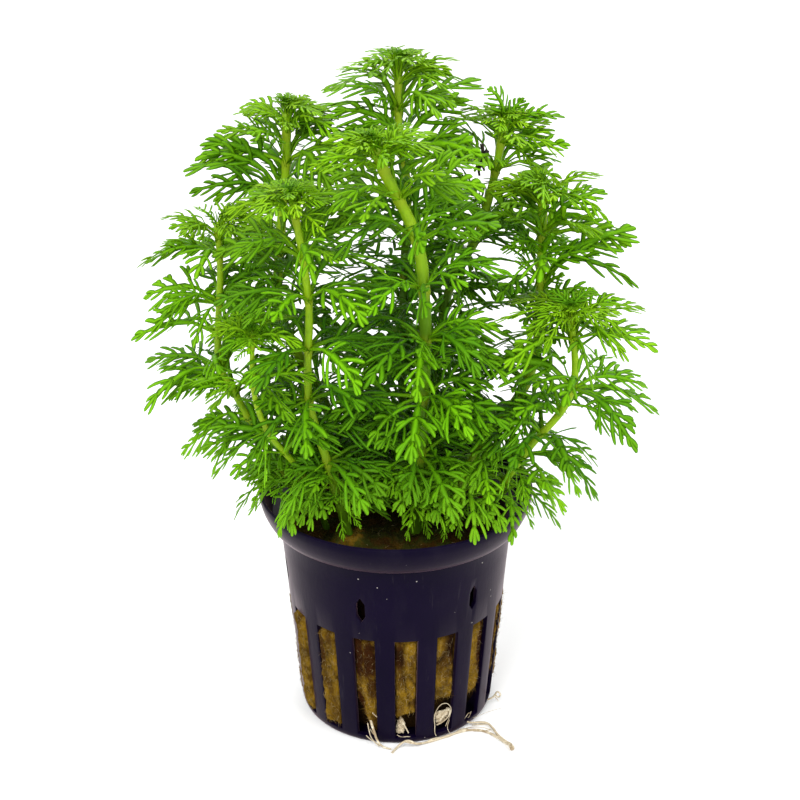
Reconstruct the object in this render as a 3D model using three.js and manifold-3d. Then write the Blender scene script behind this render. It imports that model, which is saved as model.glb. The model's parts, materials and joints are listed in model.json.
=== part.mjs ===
// Ambulia in a net pot: nine leafy shoots that grow out of a plug of rock wool.
// Millimetres, +Z up. The origin is the middle of the pot's underside, and the plant's front faces -Y.
import * as THREE from 'three';
import { mergeVertices } from 'three/addons/utils/BufferGeometryUtils.js';
import Module from 'manifold-3d';

const wasm = await Module();
wasm.setup();

// Pot
const rimRadius = 27.5;
const potHeight = 49.2;
const bandHeight = 6.3;
const bandFootRadius = 25.2;
const wallTopRadius = 23.4;
const wallFootRadius = 19.8;
const wallFootHeight = 1;
const baseRadius = 19.1;
const wallThickness = 0.9;
const floorThickness = 1.4;
const lipThickness = 0.8;
const potFacets = 32;
const slotCount = 16;
const slotPitch = 360 / slotCount;
const slotAngle = 12.4;
const slotTop = 25.6;
const slotBottom = 1.6;
const frontSlotTurn = 5.1;
const slitCount = 6;
const slitWidth = 1.8;
const slitHeight = 5.8;
const slitMiddle = 32.5;
const slitTurn = 42;
const drainCount = 6;
const drainWidth = 2.4;
const drainInner = 7;
const drainOuter = 15.5;

// Rock wool
const gap = 0.35;
const woolTop = 43.6;
const woolEdgeDrop = 1.6;
const woolFacets = 16;
const woolLift = 6;

// Shoots
const stemSides = 6;
const stemFootRadius = 1.15;
const stemTipRadius = 0.72;
const stemStep = 14;
const socketDepth = 12;
const upperLeaves = 6;
const lowerLeaves = 5;
const upperWhorls = 3;
const collarWall = 0.45;
const collarHeight = 1.3;
const whorlTurn = 30;
const highestWhorl = 126;
const lowestWhorl = 53.5;
const leafThickness = 0.9;
const leafClearance = 0.2;
const leafSag = 0.2;
const leafSwing = 5;

// Each shoot: how thick it is, its stem from inside the wool to the bud, its whorls from the top down,
// and how far round the highest whorl is turned. A whorl is its height, the length of its leaves and
// their rise in degrees above level.
const shoots = [
  {
    name: 'shoot_tall',
    girth: 1,
    stem: [[1, 9, 38.5], [1.4, 10, 60], [1.9, 12, 89], [2.6, 14, 105.9], [0.8, 17, 121], [1.2, 19.3, 129]],
    whorls: [
      [125.5, 13, 34], [120.5, 20, 22], [111.5, 19, 28], [101, 18, 20],
      [89, 16, 8], [76, 16, 0], [61, 14, -6],
    ],
    turn: 12,
  },
  {
    name: 'shoot_middle',
    girth: 1.25,
    stem: [
      [4, -8.5, 38.5], [4.6, -12, 62], [5.6, -14, 90],
      [4.1, -14.5, 105.7], [-1.7, -15, 118.8], [-3.3, -15, 123],
    ],
    whorls: [
      [119, 13, 38], [113.5, 16.5, 32], [105.5, 17, 24], [96, 16.5, 16],
      [86, 16, 6], [74, 16, 0], [61.5, 15, -6],
    ],
    turn: 40,
  },
  {
    name: 'shoot_upper_left',
    girth: 1,
    stem: [
      [-8, 9.5, 38.5], [-13.5, 10, 60], [-22.8, 11, 82],
      [-22.6, 12, 93], [-20.8, 15, 111], [-20.6, 16.4, 121],
    ],
    whorls: [
      [116.5, 12, 38], [111, 16.5, 35], [104.3, 20, 24], [93, 17, 14],
      [82, 16, 4], [70.5, 15, -4], [58, 13, -8],
    ],
    turn: 25,
  },
  {
    name: 'shoot_front_left',
    girth: 1,
    stem: [
      [-8, -12, 38.5], [-12.5, -15, 60], [-16, -15, 74],
      [-15.6, -16.5, 95], [-17, -17, 108], [-18.1, -17, 114.5],
    ],
    whorls: [[110.5, 12, 38], [103.2, 16, 30], [95, 16, 20], [85, 16, 6], [74.5, 16, -4], [61.5, 14, -12]],
    turn: 5,
  },
  {
    name: 'shoot_left',
    girth: 0.85,
    stem: [
      [-16, -1, 38.5], [-20, -3, 49], [-26.2, -3, 60], [-31.2, -2.4, 70.5],
      [-33.8, -2, 76], [-33.7, -1.2, 85], [-33, -0.8, 94], [-33.1, -0.2, 104.5],
    ],
    whorls: [[102, 11, 34], [97.6, 14.5, 10], [88.6, 14, 14], [75.2, 15.5, 20], [65, 14, 0], [54.5, 11, -10]],
    turn: 50,
  },
  {
    name: 'shoot_upper_right',
    girth: 1,
    stem: [
      [7, 9.5, 38.5], [8, 10, 70], [11.9, 12, 89.4], [16, 13, 96],
      [20.3, 16, 112], [21.3, 17.4, 118.5],
    ],
    whorls: [[114.2, 14, 42], [109, 17, 34], [99, 17, 22], [87, 16, 8], [74.5, 15, 0], [60.5, 14, -8]],
    turn: 33,
  },
  {
    name: 'shoot_right',
    girth: 1.15,
    stem: [
      [9, -9.5, 38.5], [12.4, -12.5, 55], [18.5, -8, 64], [23.8, -4.5, 70],
      [27, -1.5, 77], [27.8, 0, 90], [28.1, 3, 109.5],
    ],
    whorls: [[106, 14, 38], [100.5, 18, 36], [92, 20, 32], [82.6, 15, 16], [72.5, 16, 0], [57, 14, -10]],
    turn: 18,
  },
  {
    name: 'shoot_far_right',
    girth: 0.85,
    stem: [
      [16.5, -4, 38.5], [20, -7, 50], [25, -11, 61.5],
      [32, -12, 71.5], [33.7, -12, 77.5], [32.4, -13, 91],
    ],
    whorls: [[89.8, 14, 20], [85.2, 15.5, 10], [75, 17, 16], [65.5, 15, 0], [53.5, 12.5, -12]],
    turn: 8,
  },
  {
    name: 'shoot_short',
    girth: 0.85,
    stem: [[-12.5, -6, 38.5], [-17.5, -12.5, 57], [-24, -16.5, 69], [-26.1, -17.3, 77], [-25.9, -18, 90]],
    whorls: [[87, 10, 34], [78.5, 13, 12], [68.8, 12, 2], [58.6, 11, -10]],
    turn: 30,
  },
];

// Growing tips
const budRadius = 1.2;
const budHeight = 2.6;
const budLeafLength = 6;
const budLeafRise = 52;
const budLeafSwing = 9;

// Roots: thin strands that come out of the slots and lie on the surface the pot stands on.
const rootSides = 5;
const trailingSteps = 12;
const slotSteps = 2;
const upperSteps = 6;
const frontSteps = 5;
const rootRadius = 0.45;
const knotRadius = 1;
const trailingRoot = [
  [-1.1, -23.2, 0.47], [0.6, -21.9, 0.8], [2.4, -21, 1.7], [4.4, -21.3, 0.7],
  [9.9, -19.2, 0.5], [14.2, -16.9, 0.5], [18.4, -17.2, 0.5], [21.4, -20.1, 0.5], [22.8, -22, 0.7],
];
const slotRoot = [[2, -16.5, 4.2], [2.2, -18.6, 2.9], [2.4, -20.9, 2]];
const upperRoot = [
  [12.6, -10.6, 3.6], [15.2, -12.8, 2.7], [17, -14, 0.9],
  [19.2, -15.4, 0.5], [21.2, -18.6, 0.5], [22.8, -22, 0.7],
];
const frontRoot = [
  [-5.7, -18.9, 5.2], [-5.2, -19.9, 3.4], [-4.6, -20.8, 2.4], [-3.4, -21.3, 1], [-2.2, -21.6, 0.5],
];

const colours = {
  pot: 0x231d38,
  wool: 0x8a6b22,
  root: 0xd2bf96,
  stem: 0x93ad1c,
  topLeaf: 0x5fae14,
  lowLeaf: 0x357a12,
};

const plant = new THREE.Group();
plant.name = 'potted_ambulia';

// Solids

function solidFromGeometry(geometry) {
  const bare = geometry.clone();
  bare.deleteAttribute('normal');
  bare.deleteAttribute('uv');
  const merged = mergeVertices(bare, 1e-4);
  return new wasm.Manifold(new wasm.Mesh({
    numProp: 3,
    vertProperties: new Float32Array(merged.attributes.position.array),
    triVerts: new Uint32Array(merged.index.array),
  }));
}

function geometryFromPoints(points, triangles) {
  const geometry = new THREE.BufferGeometry();
  geometry.setAttribute('position', new THREE.Float32BufferAttribute(points.flatMap((p) => p.toArray()), 3));
  geometry.setIndex(triangles.flat());
  return geometry;
}

function geometryFromSolid(solid) {
  const mesh = solid.getMesh();
  const geometry = new THREE.BufferGeometry();
  geometry.setAttribute('position', new THREE.Float32BufferAttribute(mesh.vertProperties, 3));
  geometry.setIndex(new THREE.Uint32BufferAttribute(mesh.triVerts, 1));
  return geometry;
}

function addPiece(name, solid, colour, roughness) {
  const geometry = geometryFromSolid(solid);
  geometry.computeVertexNormals();
  const material = new THREE.MeshStandardMaterial({ color: colour, roughness, metalness: 0 });
  const mesh = new THREE.Mesh(geometry, material);
  mesh.name = name;
  plant.add(mesh);
}

function radians(degrees) {
  return THREE.MathUtils.degToRad(degrees);
}

function vectors(list) {
  return list.map((p) => new THREE.Vector3(...p));
}

// A tube of even sections along a curve, narrowed towards its end.
function taperedTube(curve, startRadius, endRadius, sides, steps) {
  const section = new THREE.Shape();
  for (let i = 0; i < sides; i += 1) {
    const turn = (i / sides) * Math.PI * 2;
    const corner = [Math.cos(turn) * startRadius, Math.sin(turn) * startRadius];
    if (i === 0) section.moveTo(...corner);
    else section.lineTo(...corner);
  }
  const geometry = new THREE.ExtrudeGeometry(section, { steps, bevelEnabled: false, extrudePath: curve });
  const centres = curve.getSpacedPoints(steps);
  const position = geometry.attributes.position;
  const corner = new THREE.Vector3();
  for (let i = 0; i < position.count; i += 1) {
    corner.fromBufferAttribute(position, i);
    let ring = 0;
    centres.forEach((centre, j) => {
      if (centre.distanceTo(corner) < centres[ring].distanceTo(corner)) ring = j;
    });
    const scale = THREE.MathUtils.lerp(1, endRadius / startRadius, ring / steps);
    corner.sub(centres[ring]).multiplyScalar(scale).add(centres[ring]);
    position.setXYZ(i, corner.x, corner.y, corner.z);
  }
  return solidFromGeometry(geometry);
}

// Pot

function wallRadius(height) {
  const slope = (wallTopRadius - wallFootRadius) / (potHeight - bandHeight - wallFootHeight);
  return wallFootRadius + slope * (height - wallFootHeight);
}

function boxAt(width, depth, height, radius, middleHeight, turn) {
  const box = new THREE.BoxGeometry(width, depth, height);
  box.translate(0, -radius, middleHeight);
  box.rotateZ(radians(turn));
  return solidFromGeometry(box);
}

function makePot() {
  const bandFoot = potHeight - bandHeight;
  const profile = [
    [0, 0],
    [baseRadius, 0],
    [wallFootRadius, wallFootHeight],
    [wallTopRadius, bandFoot],
    [bandFootRadius, bandFoot],
    [bandFootRadius + 1.5, bandFoot + 2.4],
    [rimRadius, potHeight - 0.5],
    [rimRadius - lipThickness, potHeight],
    [bandFootRadius - 0.5, bandFoot + 1],
    [wallTopRadius - wallThickness, bandFoot + 1],
    [wallFootRadius - wallThickness, floorThickness],
    [0, floorThickness],
  ].map(([radius, height]) => new THREE.Vector2(radius, height));
  const lathe = new THREE.LatheGeometry(profile, potFacets);
  lathe.rotateX(Math.PI / 2);
  lathe.rotateZ(radians(frontSlotTurn));
  let pot = solidFromGeometry(lathe);

  // The slots between the ribs, each a wedge that widens outwards.
  const reach = rimRadius + 1;
  const start = baseRadius - 3;
  for (let i = 0; i < slotCount; i += 1) {
    const half = radians(slotAngle / 2);
    const wedge = new THREE.Shape();
    wedge.moveTo(-start * Math.tan(half), -start);
    wedge.lineTo(-reach * Math.tan(half), -reach);
    wedge.lineTo(reach * Math.tan(half), -reach);
    wedge.lineTo(start * Math.tan(half), -start);
    wedge.closePath();
    const cutter = new THREE.ExtrudeGeometry(wedge, { depth: slotTop - slotBottom, bevelEnabled: false });
    cutter.translate(0, 0, slotBottom);
    cutter.rotateZ(radians(frontSlotTurn + i * slotPitch));
    pot = pot.subtract(solidFromGeometry(cutter));
  }

  // Narrow upright slits in the wall above the slots.
  for (let i = 0; i < slitCount; i += 1) {
    const slit = new THREE.CylinderGeometry(slitHeight / 2, slitHeight / 2, 4, 4);
    slit.scale(slitWidth / slitHeight, 1, 1);
    slit.translate(0, -wallRadius(slitMiddle), slitMiddle);
    slit.rotateZ(radians(slitTurn + (i * 360) / slitCount));
    pot = pot.subtract(solidFromGeometry(slit));
  }

  // Drain slots in the floor, round a solid middle.
  for (let i = 0; i < drainCount; i += 1) {
    const middle = (drainInner + drainOuter) / 2;
    pot = pot.subtract(boxAt(drainWidth, drainOuter - drainInner, 6, middle, 0, (i * 360) / drainCount));
  }
  return pot;
}

// Rock wool

function makeWool(stems) {
  const shrink = Math.cos(Math.PI / potFacets);
  const side = (height) => wallRadius(height) * shrink - wallThickness - gap;
  const foot = floorThickness + gap;
  const profile = [
    [0, foot],
    [baseRadius - 2.4, foot],
    [side(wallFootHeight + 2), wallFootHeight + 2],
    [side(slotTop), slotTop],
    [side(woolTop - 4), woolTop - 4],
    [side(woolTop - 4) - 1.2, woolTop - woolEdgeDrop],
    [15, woolTop],
    [7, woolTop + 0.4],
    [0, woolTop + 0.6],
  ].map(([radius, height]) => new THREE.Vector2(radius, height));
  const lathe = new THREE.LatheGeometry(profile, woolFacets);
  lathe.rotateX(Math.PI / 2);
  const position = lathe.attributes.position;
  for (let i = 0; i < position.count; i += 1) {
    const x = position.getX(i);
    const y = position.getY(i);
    let z = position.getZ(i);
    // The plug hangs short of the floor at the front right, and its top is lumpy.
    if (z < wallFootHeight + 3) z += woolLift * THREE.MathUtils.smoothstep(x * 0.8 - y * 0.5, -2, 12);
    if (z > woolTop - 1) z += 0.8 * Math.sin(x * 0.45 + 1) * Math.cos(y * 0.5) - 0.3;
    position.setZ(i, z);
  }
  let wool = solidFromGeometry(lathe);
  stems.forEach(({ curve, girth }) => {
    const direction = curve.getTangentAt(0);
    const bottom = curve.getPointAt(0).addScaledVector(direction, -gap);
    const top = bottom.clone().addScaledVector(direction, socketDepth);
    const socketRadius = stemFootRadius * girth + gap;
    const axis = new THREE.LineCurve3(bottom, top);
    wool = wool.subtract(taperedTube(axis, socketRadius, socketRadius, stemSides, 1));
  });
  return wool;
}

// Roots

function makeRoots(strands, knot) {
  let roots = null;
  strands.forEach(([route, steps]) => {
    const curve = new THREE.CatmullRomCurve3(vectors(route));
    const strand = taperedTube(curve, rootRadius, rootRadius, rootSides, steps);
    roots = roots ? roots.add(strand) : strand;
  });
  if (knot) {
    const lump = new THREE.IcosahedronGeometry(knotRadius, 0);
    lump.scale(1, 1, 0.7);
    lump.translate(knot.x, knot.y, knot.z);
    roots = roots.add(solidFromGeometry(lump));
  }
  return roots;
}

// The pot, the wool and the roots, put together
const stems = shoots.map(({ stem, girth }) => {
  const curve = new THREE.CatmullRomCurve3(vectors(stem), false, 'centripetal');
  return { curve, girth, joints: curve.getSpacedPoints(Math.round(curve.getLength() / stemStep)) };
});
const pot = makePot();
const wool = makeWool(stems);
const trailingStrands = [[trailingRoot, trailingSteps], [slotRoot, slotSteps], [upperRoot, upperSteps]];
const trailing = makeRoots(trailingStrands, vectors(trailingRoot).pop());
const front = makeRoots([[frontRoot, frontSteps]], null);
addPiece('pot', pot, colours.pot, 0.4);
addPiece('rockwool', wool, colours.wool, 1);
addPiece('roots_trailing', trailing, colours.root, 0.7);
addPiece('root_front', front, colours.root, 0.7);

// Leaves

// Half outlines as fractions of the leaf's length: along the leaf, then out to the side.
const threeLobes = { middle: 0.5, half: [[0.68, 0.24], [0.8, 0.11]] };
const oneLobe = { middle: 0.55, half: [[0.66, 0.17]] };

// Where a whorl sits on the straight stretches of its stem, and the directions round it.
function stemNode({ joints, girth }, height, turn, sides) {
  const steps = joints.length - 1;
  let low = joints.findIndex((joint) => joint.z > height) - 1;
  if (low < 0) low = steps - 1;
  const [foot, head] = [joints[low], joints[low + 1]];
  const share = Math.min(1, (height - foot.z) / (head.z - foot.z));
  const centre = foot.clone().lerp(head, share);
  const axis = head.clone().sub(foot).normalize();
  const east = new THREE.Vector3(1, 0, 0).addScaledVector(axis, -axis.x).normalize();
  const north = new THREE.Vector3().crossVectors(axis, east);
  const stemRadius = THREE.MathUtils.lerp(stemFootRadius, stemTipRadius, (low + share) / steps) * girth;
  const bore = (stemRadius + gap) / Math.cos(Math.PI / sides);
  return { centre, axis, east, north, turn, sides, bore, outer: bore + collarWall };
}

// The frame of a leaf: where it starts, and its forward, sideways and upward directions.
function leafFrame(node, azimuth, rise) {
  const outward = node.east.clone().multiplyScalar(Math.cos(azimuth));
  outward.addScaledVector(node.north, Math.sin(azimuth));
  const sideways = new THREE.Vector3().crossVectors(node.axis, outward);
  const forward = outward.clone().multiplyScalar(Math.cos(rise)).addScaledVector(node.axis, Math.sin(rise));
  const upward = new THREE.Vector3().crossVectors(forward, sideways);
  const start = node.centre.clone().addScaledVector(outward, node.outer * Math.cos(Math.PI / node.sides));
  return { start, forward, sideways, upward };
}

function leafPoint(frame, length, along, across, raised) {
  const point = frame.start.clone();
  point.addScaledVector(frame.forward, along * length);
  point.addScaledVector(frame.sideways, across * length);
  point.addScaledVector(frame.upward, raised);
  point.z -= leafSag * length * along * along;
  return point;
}

function leafOutline({ form, frame, length }) {
  const left = form.half.map(([along, across]) => leafPoint(frame, length, along, -across, 0));
  const right = form.half.map(([along, across]) => leafPoint(frame, length, along, across, 0));
  return [...left, leafPoint(frame, length, 1, 0, 0), ...right.reverse()];
}

// A closed copy of a leaf with room round it, to find where it would touch a neighbour.
function leafEnvelope({ form, frame, length }) {
  const near = 0.1;
  const nearHalf = 0.085;
  const corners = [
    leafPoint(frame, length, near, -nearHalf, 0),
    ...leafOutline({ form, frame, length }),
    leafPoint(frame, length, near, nearHalf, 0),
  ];
  const heart = leafPoint(frame, length, form.middle, 0, 0);
  const points = [];
  corners.forEach((corner, i) => {
    const isFoot = i === 0 || i === corners.length - 1;
    const room = leafClearance + (isFoot ? collarHeight / 2 : 0);
    const out = corner.clone().sub(heart).normalize().multiplyScalar(leafClearance);
    points.push(corner.clone().add(out).addScaledVector(frame.upward, room));
    points.push(corner.clone().add(out).addScaledVector(frame.upward, -room));
  });
  const half = leafThickness / 2 + leafClearance;
  const top = points.push(heart.clone().addScaledVector(frame.upward, half)) - 1;
  const bottom = points.push(heart.clone().addScaledVector(frame.upward, -half)) - 1;
  const triangles = [];
  corners.forEach((_, i) => {
    const a = 2 * i;
    const b = 2 * ((i + 1) % corners.length);
    triangles.push([top, a, b], [bottom, b + 1, a + 1], [a, a + 1, b + 1], [a, b + 1, b]);
  });
  return solidFromGeometry(geometryFromPoints(points, triangles));
}

// A ring of leaves round a stem. It is a collar, thin at its inner edge, that the stem passes through.
// With a peak it is closed instead, and grows out of the stem.
function makeWhorl(node, leaves, peak) {
  const points = [];
  const triangles = [];
  const { sides } = node;
  const ring = (radius, height) => {
    const first = points.length;
    for (let i = 0; i < sides; i += 1) {
      const turn = node.turn + ((i - 0.5) / sides) * Math.PI * 2;
      const corner = node.centre.clone().addScaledVector(node.axis, height);
      corner.addScaledVector(node.east, Math.cos(turn) * radius);
      corner.addScaledVector(node.north, Math.sin(turn) * radius);
      points.push(corner);
    }
    return (i) => first + (i % sides);
  };
  const outerLow = ring(node.outer, -collarHeight / 2);
  const outerHigh = ring(node.outer, collarHeight / 2);
  if (!peak) {
    const inner = ring(node.bore, 0);
    for (let i = 0; i < sides; i += 1) {
      triangles.push([inner(i), outerHigh(i), outerHigh(i + 1)], [inner(i), outerHigh(i + 1), inner(i + 1)]);
      triangles.push([inner(i), inner(i + 1), outerLow(i + 1)], [inner(i), outerLow(i + 1), outerLow(i)]);
    }
  } else {
    const top = points.push(node.centre.clone().addScaledVector(node.axis, peak)) - 1;
    const bottom = points.push(node.centre.clone().addScaledVector(node.axis, -collarHeight)) - 1;
    for (let i = 0; i < sides; i += 1) {
      triangles.push([top, outerHigh(i), outerHigh(i + 1)], [bottom, outerLow(i + 1), outerLow(i)]);
    }
  }
  leaves.forEach((leaf, i) => {
    const low = [outerLow(i), outerLow(i + 1)];
    const high = [outerHigh(i), outerHigh(i + 1)];
    if (!leaf) {
      triangles.push([low[0], low[1], high[1]], [low[0], high[1], high[0]]);
      return;
    }
    const outline = leafOutline(leaf).map((corner) => points.push(corner) - 1);
    const ridge = (raised) => leafPoint(leaf.frame, leaf.length, leaf.form.middle, 0, raised);
    const top = points.push(ridge(leafThickness / 2)) - 1;
    const bottom = points.push(ridge(-leafThickness / 2)) - 1;
    const upper = [high[0], ...outline, high[1]];
    const lower = [low[0], ...outline, low[1]];
    upper.forEach((corner, j) => {
      const next = (j + 1) % upper.length;
      triangles.push([top, corner, upper[next]], [bottom, lower[next], lower[j]]);
    });
    triangles.push([low[0], outline[0], high[0]], [high[1], outline[outline.length - 1], low[1]]);
  });
  return solidFromGeometry(geometryFromPoints(points, triangles));
}

function withBox(solid, owner) {
  const { min, max } = solid.boundingBox();
  return { solid, owner, box: new THREE.Box3(new THREE.Vector3(...min), new THREE.Vector3(...max)) };
}

function isClear(envelope, others) {
  return !others.some((other) => {
    if (!other.box.intersectsBox(envelope.box)) return false;
    const common = envelope.solid.intersect(other.solid);
    const touching = !common.isEmpty();
    common.delete();
    return touching;
  });
}

// A leaf that would touch something is turned, tilted and then shortened a little until it is clear.
const leafTurns = [0, 7, -7];
const leafTilts = [0, 10, -10, 20, 30, -20, -30];
const leafSizes = [1, 0.86, 0.72, 0.58];

function growLeaf(node, form, azimuth, rise, length, others) {
  for (const size of leafSizes) {
    for (const tilt of leafTilts) {
      for (const turn of leafTurns) {
        const frame = leafFrame(node, azimuth + radians(turn), radians(rise + tilt));
        const leaf = { form, frame, length: length * size };
        const envelope = withBox(leafEnvelope(leaf));
        if (isClear(envelope, others)) return { ...leaf, envelope };
        envelope.solid.delete();
      }
    }
  }
  return null;
}

function growLeaves(node, form, rise, swing, length, others) {
  const around = [...others];
  return Array.from({ length: node.sides }, (_, i) => {
    const azimuth = node.turn + (i / node.sides) * Math.PI * 2;
    const leaf = growLeaf(node, form, azimuth, rise + swing * Math.sin(i * 2.4 + node.turn), length, around);
    if (leaf) around.push(leaf.envelope);
    return leaf;
  });
}

// Shoots, put together. The lowest whorl and the bud grow on the stem, and the others ring it.
const stalks = stems.map(({ curve, girth, joints }) => {
  return taperedTube(curve, stemFootRadius * girth, stemTipRadius * girth, stemSides, joints.length - 1);
});
const nodes = shoots.map((shoot, i) => shoot.whorls.map(([height], order) => {
  const sides = order < upperWhorls ? upperLeaves : lowerLeaves;
  return stemNode(stems[i], height, radians(shoot.turn + order * whorlTurn), sides);
}));
const obstacles = [pot, wool, trailing, front, ...stalks].map((solid) => withBox(solid));
nodes.flat().forEach((node) => {
  obstacles.push(withBox(makeWhorl(node, Array(node.sides).fill(null)), node));
});
const awayFrom = (node) => obstacles.filter((piece) => piece.owner !== node);

shoots.forEach((shoot, i) => {
  const tip = stemNode(stems[i], Infinity, radians(shoot.turn), upperLeaves);
  tip.outer = budRadius;
  const budLeaves = growLeaves(tip, oneLobe, budLeafRise, budLeafSwing, budLeafLength, []);
  const bud = makeWhorl(tip, budLeaves, budHeight);
  const lowest = nodes[i][nodes[i].length - 1];
  const [, length, rise] = shoot.whorls[shoot.whorls.length - 1];
  const others = awayFrom(lowest).filter((piece) => piece.solid !== stalks[i]);
  const leaves = growLeaves(lowest, threeLobes, rise, leafSwing, length, others);
  const stem = stalks[i].add(bud).add(makeWhorl(lowest, leaves, collarHeight));
  obstacles.push(withBox(stem));
  addPiece(`${shoot.name}_stem`, stem, colours.stem, 0.5);
});

shoots.forEach((shoot, i) => shoot.whorls.slice(0, -1).forEach(([height, length, rise], order) => {
  const node = nodes[i][order];
  const leaves = growLeaves(node, threeLobes, rise, leafSwing, length, awayFrom(node));
  const whorl = makeWhorl(node, leaves);
  obstacles.push(withBox(whorl));
  const shade = THREE.MathUtils.smoothstep(height, lowestWhorl, highestWhorl);
  const colour = new THREE.Color(colours.lowLeaf).lerp(new THREE.Color(colours.topLeaf), shade);
  addPiece(`${shoot.name}_whorl_${order + 1}`, whorl, colour, 0.5);
}));

export default plant;
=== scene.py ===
import json
import math
import random

import bmesh
import bpy
import numpy as np
from mathutils import Matrix, Vector, noise

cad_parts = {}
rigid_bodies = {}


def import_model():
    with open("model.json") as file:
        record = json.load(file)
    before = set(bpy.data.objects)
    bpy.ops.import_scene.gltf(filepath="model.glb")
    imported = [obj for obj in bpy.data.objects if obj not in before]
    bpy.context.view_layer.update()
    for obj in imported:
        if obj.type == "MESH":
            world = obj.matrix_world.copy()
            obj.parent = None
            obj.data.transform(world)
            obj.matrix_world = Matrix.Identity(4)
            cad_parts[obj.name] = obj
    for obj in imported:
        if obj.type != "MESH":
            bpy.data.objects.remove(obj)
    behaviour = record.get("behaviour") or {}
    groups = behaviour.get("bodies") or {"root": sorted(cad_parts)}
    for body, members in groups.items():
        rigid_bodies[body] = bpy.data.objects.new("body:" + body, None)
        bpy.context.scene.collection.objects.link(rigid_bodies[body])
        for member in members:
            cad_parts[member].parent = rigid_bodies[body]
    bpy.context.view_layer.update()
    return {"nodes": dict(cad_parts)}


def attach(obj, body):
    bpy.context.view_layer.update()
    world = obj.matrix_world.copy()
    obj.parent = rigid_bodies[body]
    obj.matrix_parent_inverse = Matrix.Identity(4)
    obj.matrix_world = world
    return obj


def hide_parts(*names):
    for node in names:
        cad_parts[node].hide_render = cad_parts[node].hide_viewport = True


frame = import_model()
bpy.ops.object.select_all(action="DESELECT")
mm = 0.001
print("frame loaded:", len(frame["nodes"]), "nodes")


# Helpers for modelling


def selectFaces(piece, wanted):
    bpy.ops.object.mode_set(mode="EDIT")
    bpy.ops.mesh.select_mode(type="FACE")
    bpy.ops.mesh.select_all(action="DESELECT")
    bpy.ops.object.mode_set(mode="OBJECT")
    for face in piece.data.polygons:
        face.select = wanted(face)
    bpy.ops.object.mode_set(mode="EDIT")


def applyModifier(piece, kind, **settings):
    bpy.context.view_layer.objects.active = piece
    modifier = piece.modifiers.new(kind.lower(), kind)
    for key, value in settings.items():
        setattr(modifier, key, value)
    bpy.ops.object.modifier_apply(modifier=modifier.name)


def applyTransforms():
    bpy.ops.object.transform_apply(location=True, rotation=True, scale=True)


def turnOutward():
    # the end of edit mode, with all normals outward
    bpy.ops.mesh.select_all(action="SELECT")
    bpy.ops.mesh.normals_make_consistent(inside=False)
    bpy.ops.object.mode_set(mode="OBJECT")


def drawRings(radius, height, rings):
    # a flat circle's edge drawn on ring by ring, to the radius and height of each in mm
    bpy.ops.object.mode_set(mode="EDIT")
    bpy.ops.mesh.select_mode(type="EDGE")
    bpy.ops.mesh.select_all(action="SELECT")
    bpy.ops.mesh.region_to_loop()
    for nextRadius, nextHeight in rings:
        bpy.ops.mesh.extrude_edges_move(TRANSFORM_OT_translate={"value": (0, 0, (nextHeight - height) * mm)})
        scale = nextRadius / radius
        bpy.ops.transform.resize(value=(scale, scale, 1), center_override=(0, 0, 0))
        radius, height = nextRadius, nextHeight


def smoothPiece(piece, degrees):
    bpy.ops.object.select_all(action="DESELECT")
    piece.select_set(True)
    bpy.context.view_layer.objects.active = piece
    bpy.ops.object.shade_smooth_by_angle(angle=math.radians(degrees))
    piece.select_set(False)


def joinPieces(pieces):
    bpy.ops.object.select_all(action="DESELECT")
    for piece in pieces:
        piece.select_set(True)
    bpy.context.view_layer.objects.active = pieces[0]
    if len(pieces) > 1:
        bpy.ops.object.join()
    joined = bpy.context.active_object
    joined.select_set(False)
    return joined


def addObject(name, data):
    added = bpy.data.objects.new(name, data)
    bpy.context.scene.collection.objects.link(added)
    return added


def addTone(mesh, name, colours):
    # a colour for each point, which the material reads
    tone = mesh.attributes.new(name, "FLOAT_COLOR", "POINT")
    tone.data.foreach_set("color", np.ravel(colours))


def paintPiece(piece, material):
    piece.data.materials.clear()
    piece.data.materials.append(material)


def finishPiece(piece, name, slot, *nodes):
    piece.name = name
    piece.data.name = name
    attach(piece, "root")
    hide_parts(*nodes)
    piece.select_set(False)


def azimuthOf(x, y):
    return math.degrees(math.atan2(x, -y))  # round from the pot's front, positive to the right


def smooth(low, high, value):
    share = min(1.0, max(0.0, (value - low) / (high - low)))
    return share * share * (3 - 2 * share)


def between(low, high, share):
    return low + (high - low) * share


# Camera, floor and lights

studio = {
    "lens": 81.0,              # mm on a 36 mm sensor
    "place": (0.0, -0.320, 0.216),
    "lookDown": 24.9,          # degrees
    "turn": -0.17,
    "roll": -0.25,
    "floorSize": 8.0,
    "floorColour": (0.90, 0.90, 0.90),
    "sky": 0.84,
}


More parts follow.
